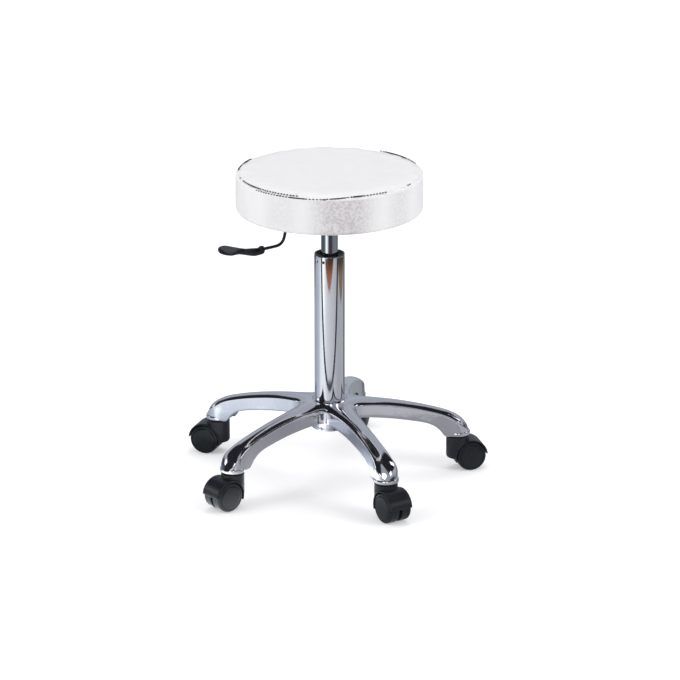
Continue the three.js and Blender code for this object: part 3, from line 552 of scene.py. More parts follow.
def half_outline():
    """One side of an arm from the web between two arms, round the tip, to its end."""
    web, join = 50.5, 72.0
    web_pull, join_pull = 9.0, 15.0
    web_steps, tip_steps, step, softenings = 60, 70, 0.7, 90
    sector = math.pi / ARM_COUNT
    start = np.array([web * math.cos(sector), web * math.sin(sector)])
    along = np.array([math.sin(sector), -math.cos(sector)])
    end = np.array([join, float(arm_side(join))])
    slope = float(arm_side(join + 1) - arm_side(join - 1)) / 2
    back = -np.array([1.0, slope]) / math.hypot(1, slope)
    a, b = start + along * web_pull, end + back * join_pull
    points = []
    for k in range(web_steps):
        t = k / web_steps
        points.append((1 - t) ** 3 * start + 3 * t * (1 - t) ** 2 * a
                      + 3 * t * t * (1 - t) * b + t ** 3 * end)
    reach = join
    while True:
        width = float(arm_side(reach))
        from_tip = CASTER_CIRCLE - reach
        if from_tip < TIP_RADIUS and math.sqrt(TIP_RADIUS ** 2 - from_tip ** 2) >= width:
            break
        points.append(np.array([reach, width]))
        reach += step
    first = math.atan2(width, reach - CASTER_CIRCLE)
    for k in range(tip_steps + 1):
        angle = first * (1 - k / tip_steps)
        points.append(np.array([CASTER_CIRCLE + TIP_RADIUS * math.cos(angle),
                                TIP_RADIUS * math.sin(angle)]))
    line = np.array(points)
    for _ in range(softenings):
        line[1:-1] = 0.25 * line[:-2] + 0.5 * line[1:-1] + 0.25 * line[2:]
    line[-1, 1] = 0.0
    return line


OUTLINE = half_outline()
STATIONS = 46


def outline_stations():
    """Points of the outline, closer together at the web and round the tip."""
    run = np.concatenate([[0], np.cumsum(np.linalg.norm(np.diff(OUTLINE, axis=0), axis=1))])
    total = run[-1]
    web_run, nose_run = 34.0, total - 62.0
    marks = np.concatenate([np.linspace(0, web_run, 13)[:-1],
                            np.linspace(web_run, nose_run, 16)[:-1],
                            np.linspace(nose_run, total, STATIONS - 27)])
    points = np.stack([np.interp(marks, run, OUTLINE[:, k]) for k in (0, 1)], axis=1)
    ahead = np.stack([np.interp(np.minimum(marks + 0.6, total), run, OUTLINE[:, k])
                      - np.interp(np.maximum(marks - 0.6, 0), run, OUTLINE[:, k])
                      for k in (0, 1)], axis=1)
    ahead /= np.linalg.norm(ahead, axis=1)[:, None]
    ahead[0] = [math.sin(math.pi / ARM_COUNT), -math.cos(math.pi / ARM_COUNT)]
    ahead[-1] = [0, -1]
    inward = np.stack([ahead[:, 1], -ahead[:, 0]], axis=1)
    return points, inward


def outline_distance(points):
    """Distance of plan points from the whole outline near one half arm."""
    mirrored = OUTLINE * [1, -1]
    sector = 2 * math.pi / ARM_COUNT
    spin = np.array([[math.cos(sector), math.sin(sector)],
                     [-math.sin(sector), math.cos(sector)]])
    near = np.concatenate([OUTLINE, mirrored, mirrored @ spin])[::3]
    return np.sqrt(((points[:, None, :] - near[None, :, :]) ** 2).sum(-1).min(1))


def top_height(plan, inset):
    """Height of the star's upper skin: a ridge that falls off towards every edge."""
    reach = np.linalg.norm(plan, axis=1)
    ridge = arm_top(reach)
    fall = np.minimum(5.0, np.maximum(ridge - (TIP_HEIGHT + 3.0), 0.4))
    width = np.where(reach < 60, 18.0, np.interp(reach, OUTLINE[60:, 0], OUTLINE[60:, 1]))
    blend = np.clip((reach - 48) / 20, 0, 1)
    width = 18.0 * (1 - blend) + np.maximum(width, 14.0) * blend
    width = np.where(reach > 205, TIP_RADIUS, width)
    share = np.clip(inset / width, 0, 1)
    return ridge - fall * (1 - share) ** 2


def star_shape():
    points, inward = outline_stations()
    sector = math.pi / ARM_COUNT
    bore, seat_ring = 29.0, 34.0
    end = CASTER_CIRCLE + 6.0
    web_end = 15
    inner_top, inner_foot = [], []
    for i in range(len(points)):
        if i <= web_end:
            angle = sector * (1 - i / web_end) ** 1.25
            inner_top.append((bore * math.cos(angle), bore * math.sin(angle)))
            inner_foot.append((seat_ring * math.cos(angle), seat_ring * math.sin(angle)))
        else:
            share = (i - web_end) / (len(points) - 1 - web_end)
            inner_top.append((bore + (end - bore) * share ** 0.94, 0.0))
            inner_foot.append((seat_ring + (end - 1.0 - seat_ring) * share ** 0.94, 0.0))
    inner_top, inner_foot = np.array(inner_top), np.array(inner_foot)

    inner_steps, foot_steps = 7, 4
    draft = 0.8
    columns = []
    cavity_start, cavity_end = 46.0, CASTER_CIRCLE - TIP_RADIUS - 4.0
    for i, (point, normal) in enumerate(zip(points, inward)):
        reach = float(np.linalg.norm(point))
        foot = float(arm_foot(reach))
        edge = float(top_height(point[None, :], np.array([1.0]))[0])
        soft = 1.6 + 3.4 * smooth(185, 222, reach)
        soft = min(soft, 0.45 * (edge - foot))
        column = []

        def at(inset, height):
            column.append((*(point + normal * inset), height))

        # Underside, from the middle outwards
        hollow = cavity_start < reach < cavity_end + 12 and i > 8
        for k in range(foot_steps + 1):
            share = k / foot_steps
            rim = point + normal * ARM_WALL
            plan = inner_foot[i] * (1 - share) + rim * share
            mid = float(np.linalg.norm(plan))
            roof = float(top_height(plan[None, :], np.array([8.0]))[0]) - ARM_WALL - 1.5
            inside = hollow and cavity_start < mid < cavity_end
            column.append((*plan, roof - (3.0 if k == foot_steps else 0.0) if inside
                           else float(arm_foot(mid))))
        at(ARM_WALL, foot + 0.7 if hollow else foot)
        at(ARM_WALL - 0.5, foot)
        at(0.7, foot)
        at(0.0, foot + 0.7)
        rise = edge - soft - foot
        for share in (0.25, 0.5, 0.75):
            at(draft * share, foot + rise * share)
        at(draft, foot + rise)
        lip = point + normal * (draft + soft)
        lip_height = float(top_height(lip[None, :], np.array([draft + soft]))[0])
        for share in (0.3, 0.6):
            angle = share * math.pi / 2 * 0.72
            at(draft + soft * (1 - math.cos(angle)), edge - soft + soft * math.sin(angle))
        column.append((*lip, lip_height))
        # The top's heights follow below, all at once
        for k in range(1, inner_steps + 1):
            share = (k / inner_steps) ** 0.9
            column.append((*(lip * (1 - share) + inner_top[i] * share), None))
        columns.append(column)
    plan = np.array([p[:2] for column in columns for p in column if p[2] is None])
    heights = iter(top_height(plan, outline_distance(plan)))
    columns = [[(p[0], p[1], next(heights)) if p[2] is None else p for p in column]
               for column in columns]
    rows = len(columns[0])
    shape = Shape()
    for angle in ARM_ANGLES:
        matrix = place(*COLUMN, 0, angle)
        for mirror in (1, -1):
            flat = [(x, mirror * y, z) for column in columns for x, y, z in column]
            faces = []
            for i in range(len(columns) - 1):
                for j in range(rows - 1):
                    quad = (i * rows + j, (i + 1) * rows + j,
                            (i + 1) * rows + j + 1, i * rows + j + 1)
                    faces.append(quad if mirror > 0 else quad[::-1])
            shape.add(flat, faces, matrix)
    return shape


def hub_shape():
    """Boss under the star, the bore and the raised collar round the column."""
    profile = [
        (24.1, 85.0), (29.2, 85.0), (30.0, 85.8), (30.0, 88.3), (28.2, 89.3), (31.0, 97.0),
        (34.2, 105.0), (36.0, 109.5), (33.0, 116.0), (33.0, 126.0), (32.0, 131.6), (29.6, 132.4),
        (27.6, 134.1), (26.9, 135.0), (25.2, 135.0), (25.0, 134.0),
    ]
    radii = [0.4, 0.8, 0.8, 0.8, 1.2, 3, 3, 1, 1, 1, 2, 3, 0.8, 0.5, 0.4, 0.4]
    shape = turned(rounded(profile, radii, 3, True), 120)
    # Webs inside the rim of the boss, seen from below and under its edge
    for k in range(2 * ARM_COUNT):
        angle = FIRST_ARM + (k + 0.5) * math.pi / ARM_COUNT
        ring = [(28.0, -1.3), (30.6, -1.1), (30.6, 1.1), (28.0, 1.3)]
        rings = [[(x - fall, y, z) for x, y in ring]
                 for z, fall in ((86.0, 0.5), (88.0, 0.0), (91.5, 1.2), (94.0, 2.4))]
        shape.add(*skin(rings), place(*COLUMN, 0, angle))
    return shape


def tip_ring_shape():
    profile = [
        (0, 62.0), (19.9, 62.0), (20.7, 62.7), (20.7, 66.6), (20.2, 67.9), (19.2, 68.6), (0, 68.8),
    ]
    shape = Shape()
    for angle in ARM_ANGLES:
        matrix = place(*around(CASTER_CIRCLE, angle), 0, angle)
        shape.add(*lathe(rounded(profile, 0.7), 64), matrix)
    return shape


star = new_piece("star_casting", star_shape(), "base", "polished_cast", "star_base", 0)
weld(star.data, 0.00002)
shade_smooth(star.data)
subdivide(star)
new_piece("star_hub", hub_shape(), "base", "polished_cast", "star_base", 40)
new_piece("star_tip_rims", tip_ring_shape(), "base", "polished_cast", "star_base", 40)


# Column and lift

TUBE_RADIUS = 25.0
DIMPLE_HEIGHT = 375.5
DIMPLE_DEPTH = 1.3
DIMPLE_ANGLES = [math.radians(215), math.radians(246)]


def column_shape():
    """The chromed outer tube, with two punched dimples near its rim."""
    top_zone, rows = 372.0, 24
    profile = rounded(
        [(21.5, 85.0), (23.7, 85.0), (24.7, 134.6), (24.7, 135.3), (TUBE_RADIUS, 135.6),
         (TUBE_RADIUS, top_zone), (TUBE_RADIUS, 384.4), (23.0, 384.4), (23.0, 96.0),
         (21.5, 95.9)],
        [0.5, 0.5, 0, 0, 0, 0, 0.5, 0.3, 0, 0], 4, True)
    fine = []
    for point, after in zip(profile, profile[1:] + profile[:1]):
        fine.append(point)
        if point[0] == after[0] == TUBE_RADIUS and after[1] > top_zone:
            fine += [(TUBE_RADIUS, point[1] + (after[1] - point[1]) * k / rows)
                     for k in range(1, rows)]

    def wobble(radius, height, angle):
        if radius == TUBE_RADIUS and height > 370:
            for turn in DIMPLE_ANGLES:
                side = (angle - turn + math.pi) % (2 * math.pi) - math.pi
                off = math.hypot(side * TUBE_RADIUS, height - DIMPLE_HEIGHT)
                radius -= DIMPLE_DEPTH * (1 - smooth(1.7, 2.5, off))
        return radius, height

    return turned(fine, 264, wobble)


def dimple_shade_shape():
    """Small dark discs in the tube's two dimples: painted shade in the dimples."""
    shape = Shape()
    end = rounded([(0, 22.9), (1.6, 22.9), (1.6, 24.1), (0, 24.3)], [0, 0.1, 0.3, 0], 3)
    lay = Matrix.Rotation(math.pi / 2, 4, "Y")
    for turn in DIMPLE_ANGLES:
        shape.add(*lathe(end, 24), place(*COLUMN, DIMPLE_HEIGHT, turn) @ lay)
    return shape


new_piece("column_outer_tube", column_shape(), "base", "chromed_tube", "column_tube")
new_piece("column_dimple_shade", dimple_shade_shape(), "base", "black_plastic")

bush_profile = rounded(
    [(14.3, 311.7), (22.7, 311.7), (22.7, 384.5), (24.8, 384.5), (24.8, 385.3), (22.6, 385.3),
     (21.4, 384.4), (20.8, 382.2), (18.6, 381.4), (17.6, 380.3), (15.6, 380.3), (14.3, 379.2)],
    0.4, 3, True)
new_piece("column_guide_bush", turned(bush_profile, 96), "base", "black_plastic", "guide_bush")

lift_profile = rounded(
    [(5.3, 205.0), (12.3, 205.0), (14.0, 206.7), (14.0, 420.0), (13.1, 447.5), (4.3, 447.5),
     (4.3, 444.0), (11.4, 444.0), (12.3, 420.0), (12.3, 208.5), (5.3, 208.5)],
    [0.3, 0.6, 0.8, 0, 0.8, 0.4, 0, 0, 0, 0, 0], 3, True)
new_piece("lift_pressure_tube", turned(lift_profile, 96), "seat", "chromed_tube",
          "pressure_tube")


# Seat

PANEL_RADIUS = 151.0
SEAT_SEGMENTS = 160
SEAM_RADIUS = 151.1
GATHERS = 64
SIM_FRAMES = 20
# Limits in metres: how far the cover may swell, and the top of the part's box
SWELL_LIMIT = 0.0022
TOP_LIMIT = 0.5264


def cushion_profile():
    """From the middle of the top, over the seam and the band, round the turned hem and
    back inside over the board. Each point says whether the cover is held there."""
    profile = []
    for share in (0, 0.1, 0.2, 0.3, 0.4, 0.5, 0.6, 0.68, 0.75, 0.81, 0.86, 0.9, 0.93, 0.95,
                  0.967, 0.98):
        profile.append((PANEL_RADIUS * share, 525.4 - 2.6 * share ** 4, False))
    profile += [
        (149.6, 522.6, False), (150.8, 522.1, False), (151.5, 521.6, False),
        (SEAM_RADIUS, 521.0, True),
        (151.9, 520.4, False), (152.4, 519.4, False), (152.5, 518.0, False),
    ]
    for height in np.linspace(515, 469, 17):
        profile.append((SEAT_RADIUS, float(height), False))
    profile += [
        (152.3, 466.4, False), (151.6, 464.0, False), (150.3, 462.1, True), (148.6, 461.0, True),
        (146.5, 460.4, True), (141.0, 460.2, True), (134.0, 460.1, True), (127.0, 460.0, True),
        (123.4, 460.1, True), (122.8, 460.8, True), (123.4, 461.4, True), (135.0, 461.5, True),
        (146.8, 461.5, True), (146.8, 474.1, True), (0.0, 474.1, True),
    ]
    return profile


def simulate_cover(obj, held):
    """Inflates the cover a little between its seam and its hem."""
    group = obj.vertex_groups.new(name="held")
    group.add(held, 1.0, "REPLACE")
    cloth = obj.modifiers.new("Cloth", "CLOTH")
    settings = cloth.settings
    settings.quality = 6
    settings.mass = 0.25
    settings.tension_stiffness = 18
    settings.compression_stiffness = 18
    settings.shear_stiffness = 8
    settings.bending_stiffness = 1.5
    settings.use_pressure = True
    settings.uniform_pressure_force = 4.0
    settings.vertex_group_mass = group.name
    settings.effector_weights.gravity = 0
    cloth.collision_settings.use_collision = False
    cloth.collision_settings.use_self_collision = False
    scene = bpy.context.scene
    scene.frame_start, scene.frame_end = 1, SIM_FRAMES
    cloth.point_cache.frame_start, cloth.point_cache.frame_end = 1, SIM_FRAMES
    for step in range(1, SIM_FRAMES + 1):
        scene.frame_set(step)
    view = bpy.context.evaluated_depsgraph_get()
    result = obj.evaluated_get(view)
    places = np.array([tuple(v.co) for v in result.data.vertices])
    obj.modifiers.remove(cloth)
    scene.frame_set(1)
    return places


def cushion_piece():
    profile = cushion_profile()
    gather = [rng.uniform(-1, 1) for _ in range(GATHERS)]
    zone = 4

    def wobble(radius, height, angle):
        near = abs(height - SEAM_HEIGHT)
        if radius > 147 and 0.1 < near < zone:
            turn = angle / (2 * math.pi) * GATHERS
            step = int(turn) % GATHERS
            sway = gather[step] * (1 - turn % 1) + gather[(step + 1) % GATHERS] * (turn % 1)
            radius += 0.22 * sway * (1 - near / zone)
            height += 0.18 * sway * (1 - near / zone)
        return radius, height

    points, faces = lathe([(r, z) for r, z, _ in profile], SEAT_SEGMENTS, False, wobble)
    shape = Shape().add(points, [face[::-1] for face in faces], place(*COLUMN))
    obj = new_piece("seat_cover", shape, "seat", "white_vinyl", "seat_cushion", 0)
    held, index = [], 0
    for radius, _, fixed in profile:
        count = 1 if radius < 1e-6 else SEAT_SEGMENTS
        if fixed:
            held += range(index, index + count)
        index += count
    rest = np.array([tuple(v.co) for v in obj.data.vertices])
    shift = simulate_cover(obj, held) - rest
    length = np.linalg.norm(shift, axis=1)
    rest += shift * np.minimum(SWELL_LIMIT / np.maximum(length, 1e-9), 1.0)[:, None]
    rest[:, 2] = np.minimum(rest[:, 2], TOP_LIMIT)
    obj.data.vertices.foreach_set("co", rest.ravel())
    obj.data.update()
    subdivide(obj)


cushion_piece()


STITCH_COUNT = 170
# How far each needle row gapes, and so how long its painted shade runs, at degrees from -Y
# towards +X, and how high the upper one runs between the lower one and its own place
UPPER_GAPE = [(-180, 0.1), (-121, 0.1), (-118, 1.0), (-112, 1.0), (-108, 0.45), (-95, 0.6),
              (-91, 0.1), (-76, 0.3), (-68, 0.42), (-62, 0.5), (-56, 0.85), (-50, 0.85),
              (-46, 0.5), (-24, 0.45), (-18, 0.2), (-3, 0.1), (-1, 0.55), (3, 1.0), (9, 1.0),
              (10.5, 0.45), (13.5, 0.45), (14.5, 1.0), (20, 1.0), (22, 0.5), (38, 0.45),
              (42, 0.15), (57, 0.15), (59.5, 0.42), (62, 0.15), (104, 0.1), (110, 0.45),
              (124, 0.8), (130, 1.0), (139, 1.0), (143, 0.45), (147, 0.1), (180, 0.1)]
UPPER_RISE = [(-180, 1), (-12, 1), (-6, 0), (1, 0.2), (9, 0.6), (16, 1), (180, 1)]
LOWER_GAPE = [(-180, 0.1), (-100, 0.1), (-58, 0.2), (-48, 0.45), (-38, 0.5), (-33, 0.75),
              (-27, 0.7), (-25, 0.45), (-23, 1.0), (-16, 1.0), (-14.5, 0.5), (-5, 0.5),
              (-4.3, 0.9), (-2.5, 0.9), (-1.5, 0.1), (180, 0.1)]


def needle_row(shape, place_at, gape, sway, dark):
    """A row of stitches: dark pieces of painted shade in the needle holes, which run together
    where the seam gapes, or the white thread between them."""
    for k in range(STITCH_COUNT):
        step = k + (0.0 if dark else 0.5)
        angle = 2 * math.pi * (step + 0.08 * sway[k % len(sway)]) / STITCH_COUNT
        degrees = (math.degrees(angle) + 90 + 180) % 360 - 180
        open_share = float(np.interp(degrees, *zip(*gape))) + 0.12 * sway[(k * 5) % len(sway)]
        # With dark set, the pieces are painted shade in the needle holes.
        if dark and open_share < 0.3:
            continue
        run = smooth(0.5, 0.95, open_share)
        length = 2.1 + 3.6 * run if dark else 2.4
        thick = 1.0 + 0.1 * run if dark else 0.4
        radius, height = place_at(degrees)
        half = length / 2 / radius
        path = []
        for share in (-1.0, -0.7, 0.0, 0.7, 1.0):
            turn = angle + share * half
            lift = thick * (0.3 - 0.5 * share ** 2) if dark else 0.1 - 0.4 * share ** 2
            path.append((*around(radius + lift * 0.8, turn), height + lift * 0.6))
        shape.add(*tube(path, thick, 8))


def upper_place(degrees):
    rise = float(np.interp(degrees, *zip(*UPPER_RISE)))
    return 151.3 - 3.3 * rise, 521.0 + 2.3 * rise


def needle_rows():
    sway = [rng.uniform(-1, 1) for _ in range(97)]
    holes, threads = Shape(), Shape()
    for place_at, gape in ((upper_place, UPPER_GAPE), (lambda _: (151.5, 520.6), LOWER_GAPE)):
        needle_row(holes, place_at, gape, sway, True)
        needle_row(threads, place_at, gape, sway, False)
    new_piece("seat_needle_hole_shade", holes, "seat", "white_vinyl", None, 0, PAINTED_SEAM_SHADE)
    new_piece("seat_stitches", threads, "seat", "white_vinyl", None, 0, WHITE_THREAD)


needle_rows()


def staples():
    """Wire staples that hold the turned-in hem to the board."""
    shape = Shape()
    count = 44
    wire = [(0, -5.2, 0.9), (0, -5.0, 0.1), (0, -4.4, -0.2), (0, 4.4, -0.2), (0, 5.0, 0.1),
            (0, 5.2, 0.9)]
    for k in range(count):
        angle = 2 * math.pi * (k + rng.uniform(-0.12, 0.12)) / count
        lean = rng.uniform(-0.25, 0.25)
        matrix = place(*COLUMN, 0, angle) @ place(128.5 + rng.uniform(-1, 1), 0, 459.75, lean)
        shape.add(*tube(wire, 0.45, 6), matrix)
    new_piece("hem_staples", shape, "seat", "bright_steel", None, 0)


staples()


# Lever

LEVER_FRAME = place(*COLUMN, 0, LEVER_TURN)
LEVER_AXLE = Vector((40, 0, 451))
ROD_RADIUS = 2.5
HANDLE_RISE = math.radians(6.5)
HANDLE_ROOT = Vector((119.0, 0.0, 409.0))
HANDLE_SOCKET = 14.7


def lever_path():
    bend = Vector((76, 0, 449.5))
    elbow = Vector((85, 0, 411.5))
    end = HANDLE_ROOT + (HANDLE_ROOT - elbow).normalized() * HANDLE_SOCKET
    path = [LEVER_AXLE]
    for before, corner, after, reach in ((LEVER_AXLE, bend, elbow, 11), (bend, elbow, end, 13)):
        first = corner + (before - corner).normalized() * reach
        last = corner + (after - corner).normalized() * reach
        for k in range(9):
            t = k / 8
            path.append(first * (1 - t) ** 2 + corner * 2 * t * (1 - t) + last * t * t)
    path.append(end)
    return path


def rod_shape():
    """The bent rod, its rocker round the pivot pin and the bar that presses the valve."""
    half = 17.5
    lay = Matrix.Translation(LEVER_AXLE) @ Matrix.Rotation(math.pi / 2, 4, "X")
    rocker = rounded([(2.3, -half), (5.0, -half), (5.0, half), (2.3, half)], 0.5, 2, True)
    bar = [(-4.0, 452.3), (0.0, 452.3), (36.5, 452.3), (36.5, 455.8), (-4.0, 455.8)]
    rings = [[(x, y, 454 + (z - 454) * share) for x, z in rounded(bar, 0.8, 2, True)]
             for y, share in ((-4.5, 0.8), (-4.1, 1.0), (4.1, 1.0), (4.5, 0.8))]
    shape = Shape().add(*tube(lever_path(), ROD_RADIUS, 24), LEVER_FRAME)
    return shape.add(*lathe(rocker, 40, True), LEVER_FRAME @ lay).add(*skin(rings), LEVER_FRAME)


new_piece("release_lever_rod", rod_shape(), "lever", "black_steel", "lever_rod", 40)

HANDLE_LENGTH, HANDLE_HALF, HANDLE_THICK = 80.0, 16.0, 7.25
HANDLE_TWIST = math.radians(11)
# Share of the length, then half width, thickness and lift as shares, and share of the twist
HANDLE = [
    (0, 0.30, 0.66, -0.17, 0), (0.012, 0.35, 0.84, -0.2, 0), (0.03, 0.38, 0.94, -0.23, 0),
    (0.06, 0.39, 0.99, -0.28, 0), (0.085, 0.39, 0.98, -0.34, 0), (0.12, 0.40, 0.84, -0.56, 0),
    (0.24, 0.53, 0.85, -0.67, 0), (0.4, 0.44, 0.7, -0.57, 0.2), (0.53, 0.45, 0.68, -0.37, 0.5),
    (0.65, 0.7, 0.66, -0.23, 0.8), (0.78, 1, 0.59, -0.15, 1), (0.9, 0.9, 0.5, -0.17, 1),
    (0.965, 0.6, 0.39, -0.24, 1), (0.99, 0.36, 0.27, -0.3, 1), (1.0, 0.1, 0.1, -0.33, 1),
]


def handle_shape():
    """Paddle handle with a collar, a finger swell and a dished thumb rest."""
    sides, squareness, dish_depth = 32, 0.9, 1.1
    rings = []
    for reach, width, thickness, lift, twist in catmull(HANDLE, 5):
        dish = dish_depth * smooth(0.6, 0.75, reach) * (1 - smooth(0.86, 0.97, reach))
        turn = -twist * HANDLE_TWIST
        ring = []
        for k in range(sides):
            angle = 2 * math.pi * k / sides
            c, s = math.cos(angle), math.sin(angle)
            y = math.copysign(abs(c) ** squareness, c) * width * HANDLE_HALF
            z = (math.copysign(abs(s) ** squareness, s) * thickness + lift) * HANDLE_THICK
            z -= dish * max(s, 0) ** 2 * (1 - abs(c)) ** 0.5
            ring.append((reach * HANDLE_LENGTH, y * math.cos(turn) - z * math.sin(turn),
                         y * math.sin(turn) + z * math.cos(turn)))
        rings.append(ring)
    matrix = Matrix.Translation(HANDLE_ROOT) @ Matrix.Rotation(-HANDLE_RISE, 4, "Y")
    return Shape().add(*skin(rings), LEVER_FRAME @ matrix)


new_piece("release_lever_handle", handle_shape(), "lever", "black_plastic", "lever_handle", 50)


# Casters

TRAIL, WHEEL_RADIUS = 19.5, 25.0


def wheel_shape():
    """A wheel with a soft tread edge, a ring groove and a domed hub cap."""
    profile = [
        (0, 15.0), (3.3, 15.0), (3.3, 2.6), (8.0, 2.6), (8.6, 3.6), (21.0, 3.6), (21.8, 2.6),
        (24.2, 2.6), (25.0, 3.8), (25.0, 11.2), (24.7, 11.5), (25.0, 11.8), (25.0, 17.2),
        (23.9, 19.3), (21.5, 20.0), (20.6, 20.0), (20.3, 19.2), (19.9, 19.2), (19.5, 20.2),
        (17.5, 20.9), (12.0, 21.25), (5.0, 21.35), (0, 21.4),
    ]
    radii = [0, 0.3, 0.5, 0.5, 0.6, 0.6, 0.5, 0.6, 0.8, 0.15, 0.1, 0.15, 1.5, 1.5, 0.6, 0.4, 0.2,
             0.2, 0.5, 1.5, 2, 2, 0]
    return lathe(rounded(profile, radii, 3), 72)


def block(foot, top, radius, edges=0, steps=3):
    """Profile of a solid cylinder."""
    return rounded([(0, foot), (radius, foot), (radius, top), (0, top)], edges, steps)


def across(profile, segments):
    """A lathe about the axle, for a profile of (radius, distance along the axle)."""
    points, faces = lathe(profile, segments)
    return [(x + TRAIL, z, y + WHEEL_RADIUS) for x, y, z in points], [f[::-1] for f in faces]


def work_piece(points, faces):
    mesh = mesh_of("work", points, faces)
    weld(mesh, 0.000001)
    return link_object("work", mesh)


def apply_modifiers(obj):
    view = bpy.context.evaluated_depsgraph_get()
    mesh = bpy.data.meshes.new_from_object(obj.evaluated_get(view))
    obj.modifiers.clear()
    obj.data = mesh


def boolean(obj, operation, points, faces):
    """Joins a closed body to a work piece, or cuts it out."""
    modifier = obj.modifiers.new("cut", "BOOLEAN")
    modifier.operation = operation
    modifier.solver = "EXACT"
    modifier.object = work_piece(points, faces)
    tool = modifier.object
    apply_modifiers(obj)
    bpy.data.objects.remove(tool)


def hood_mesh():
    """Arch and neck joined and softened into one moulding, with its bores."""
    neck = block(20.5, 59.7, 19.0, [0, 5.0, 1.4, 0], 4)
    arch = block(-20.2, 20.2, 28.2, [0, 1.8, 1.8, 0])
    obj = work_piece(*lathe(neck, 72))
    boolean(obj, "UNION", *across(arch, 96))
    # Everything below the arch's two lips is cut off
    rear, front = math.radians(5), math.radians(-20)
    far = 60.0
    wedge = [(TRAIL, WHEEL_RADIUS + 0.2)]
    for angle in np.linspace(math.pi - front, 2 * math.pi + rear, 9):
        wedge.append((TRAIL + far * math.cos(angle), WHEEL_RADIUS + far * math.sin(angle)))
    boolean(obj, "DIFFERENCE", *skin([[(x, y, z) for x, z in wedge] for y in (-40.0, 40.0)]))
    for side in (1, -1):
        boolean(obj, "DIFFERENCE", *across(block(side * 2.0, side * 30.0, 25.9), 96))
    boolean(obj, "UNION", *across(block(-2.0, 2.0, 6.5), 40))
    remesh = obj.modifiers.new("Remesh", "REMESH")
    remesh.mode = "VOXEL"
    remesh.voxel_size = 0.0007
    soften = obj.modifiers.new("Smooth", "SMOOTH")
    soften.factor = 0.5
    soften.iterations = 5
    apply_modifiers(obj)
    boolean(obj, "DIFFERENCE", *lathe(block(45.7, 66.0, 5.8), 32))
    boolean(obj, "DIFFERENCE", *across(block(-9.0, 9.0, 3.3), 32))
    mesh = obj.data
    bpy.data.objects.remove(obj)
    mesh.materials.clear()
    mesh.materials.append(MATERIALS["black_plastic"])
    shade_smooth(mesh, 38)
    return mesh


HOOD = hood_mesh()

for number, (angle, degrees) in enumerate(zip(ARM_ANGLES, CASTER_TURNS), 1):
    x, y = around(CASTER_CIRCLE, angle)
    turn = math.radians(degrees)
    label = f"caster_{number}"
    hood = HOOD.copy()
    hood.name = f"{label}_hood_moulding"
    hood.transform(place(x * MM, y * MM, 0, turn))
    attach(hood.name, hood, label, f"{label}_hood")
    for side, sign in (("left", 1), ("right", -1)):
        points, faces = wheel_shape()
        swung = [(TRAIL + px, sign * pz, WHEEL_RADIUS + py) for px, py, pz in points]
        if sign > 0:
            faces = [face[::-1] for face in faces]
        name = f"{label}_wheel_{side}"
        new_piece(f"{name}_tyre", Shape().add(swung, faces, place(x, y, 0, turn)), name,
                  "wheel_plastic", name)


# Camera and lamps

CAMERA_RISE = math.radians(18.95)
CAMERA_RANGE = 5.7
TARGET = Vector((0.00475, -0.0082, 0.235))
SENSOR = 36.0
FOCAL_PIXELS, PHOTO_PIXELS = 3464.0, 680.0
LAMP_AIM = Vector((0, 0, 0.3))

scene = bpy.context.scene
camera = link_object("camera", bpy.data.cameras.new("camera"))
camera.data.sensor_width = SENSOR
camera.data.lens = SENSOR * FOCAL_PIXELS / PHOTO_PIXELS
away = Vector((0, -math.cos(CAMERA_RISE), math.sin(CAMERA_RISE)))
camera.location = TARGET + CAMERA_RANGE * away
camera.rotation_euler = (math.pi / 2 - CAMERA_RISE, 0, 0)
scene.camera = camera


def area_lamp(name, location, size, power):
    """A soft round lamp. Mirrors show the studio's painted lights instead of it."""
    data = bpy.data.lights.new(name, "AREA")
    data.shape = "DISK"
    data.size = size
    data.energy = power
    lamp = link_object(name, data)
    lamp.location = location
    lamp.rotation_euler = (LAMP_AIM - Vector(location)).to_track_quat("-Z", "Y").to_euler()
    lamp.visible_glossy = False


area_lamp("key_softbox", (-2.3, -1.2, 1.6), 1.5, 31)
area_lamp("fill_softbox", (2.4, -1.2, 1.4), 1.3, 28)
area_lamp("top_softbox", (0.2, 0.9, 2.8), 1.8, 18)


# Floor and studio

FLOOR_SIZE = 60
REFLECTION_DISC_RADIUS = 28
REFLECTION_DISC_HEIGHT = 0.0008
# Brown wedges painted into the floor reflections: bearing, distance of the tip, spread and colour
WEDGES = [(-2.0, 1.02, 75, (0.36, 0.145, 0.08)), (95, 0.935, 62, (0.24, 0.165, 0.115)),
          (-150, 0.95, 50, (0.22, 0.16, 0.13))]
# Bright panes in the painted walls: left and right bearing, low and high edge
PANES = [(-34, -10, 0.24, 0.48), (2, 16, 0.34, 0.56), (52, 70, 0.40, 0.62),
         (-110, -90, 0.16, 0.42), (110, 130, 0.50, 0.74)]


def fresh_tree(owner):
    owner.use_nodes = True
    owner.node_tree.nodes.clear()
    return owner.node_tree


def ray(tree, kind):
    return node(tree, "ShaderNodeLightPath", output=kind)


def floor_material():
    """Pale floor that shows white to the lens and to mirrors and keeps soft shadows."""
    mat = bpy.data.materials.new("studio_floor")
    tree = fresh_tree(mat)
    paint = node(tree, "ShaderNodeBsdfDiffuse", (0.86, 0.86, 0.87))
    _, reach, _ = bearing(node(tree, "ShaderNodeTexCoord", output="Object"))
    glow = node(tree, "ShaderNodeEmission", (1, 1, 1),
                step_between(reach, 0.7, 3.0) * 0.35 + 0.30)
    both = node(tree, "ShaderNodeAddShader", paint, glow)
    seen = (ray(tree, "Is Camera Ray") + ray(tree, "Is Glossy Ray")
            + ray(tree, "Is Transmission Ray"))
    surface = node(tree, "ShaderNodeMixShader", seen, paint, both)
    feed(tree.nodes.new("ShaderNodeOutputMaterial").inputs["Surface"], surface)
    return mat


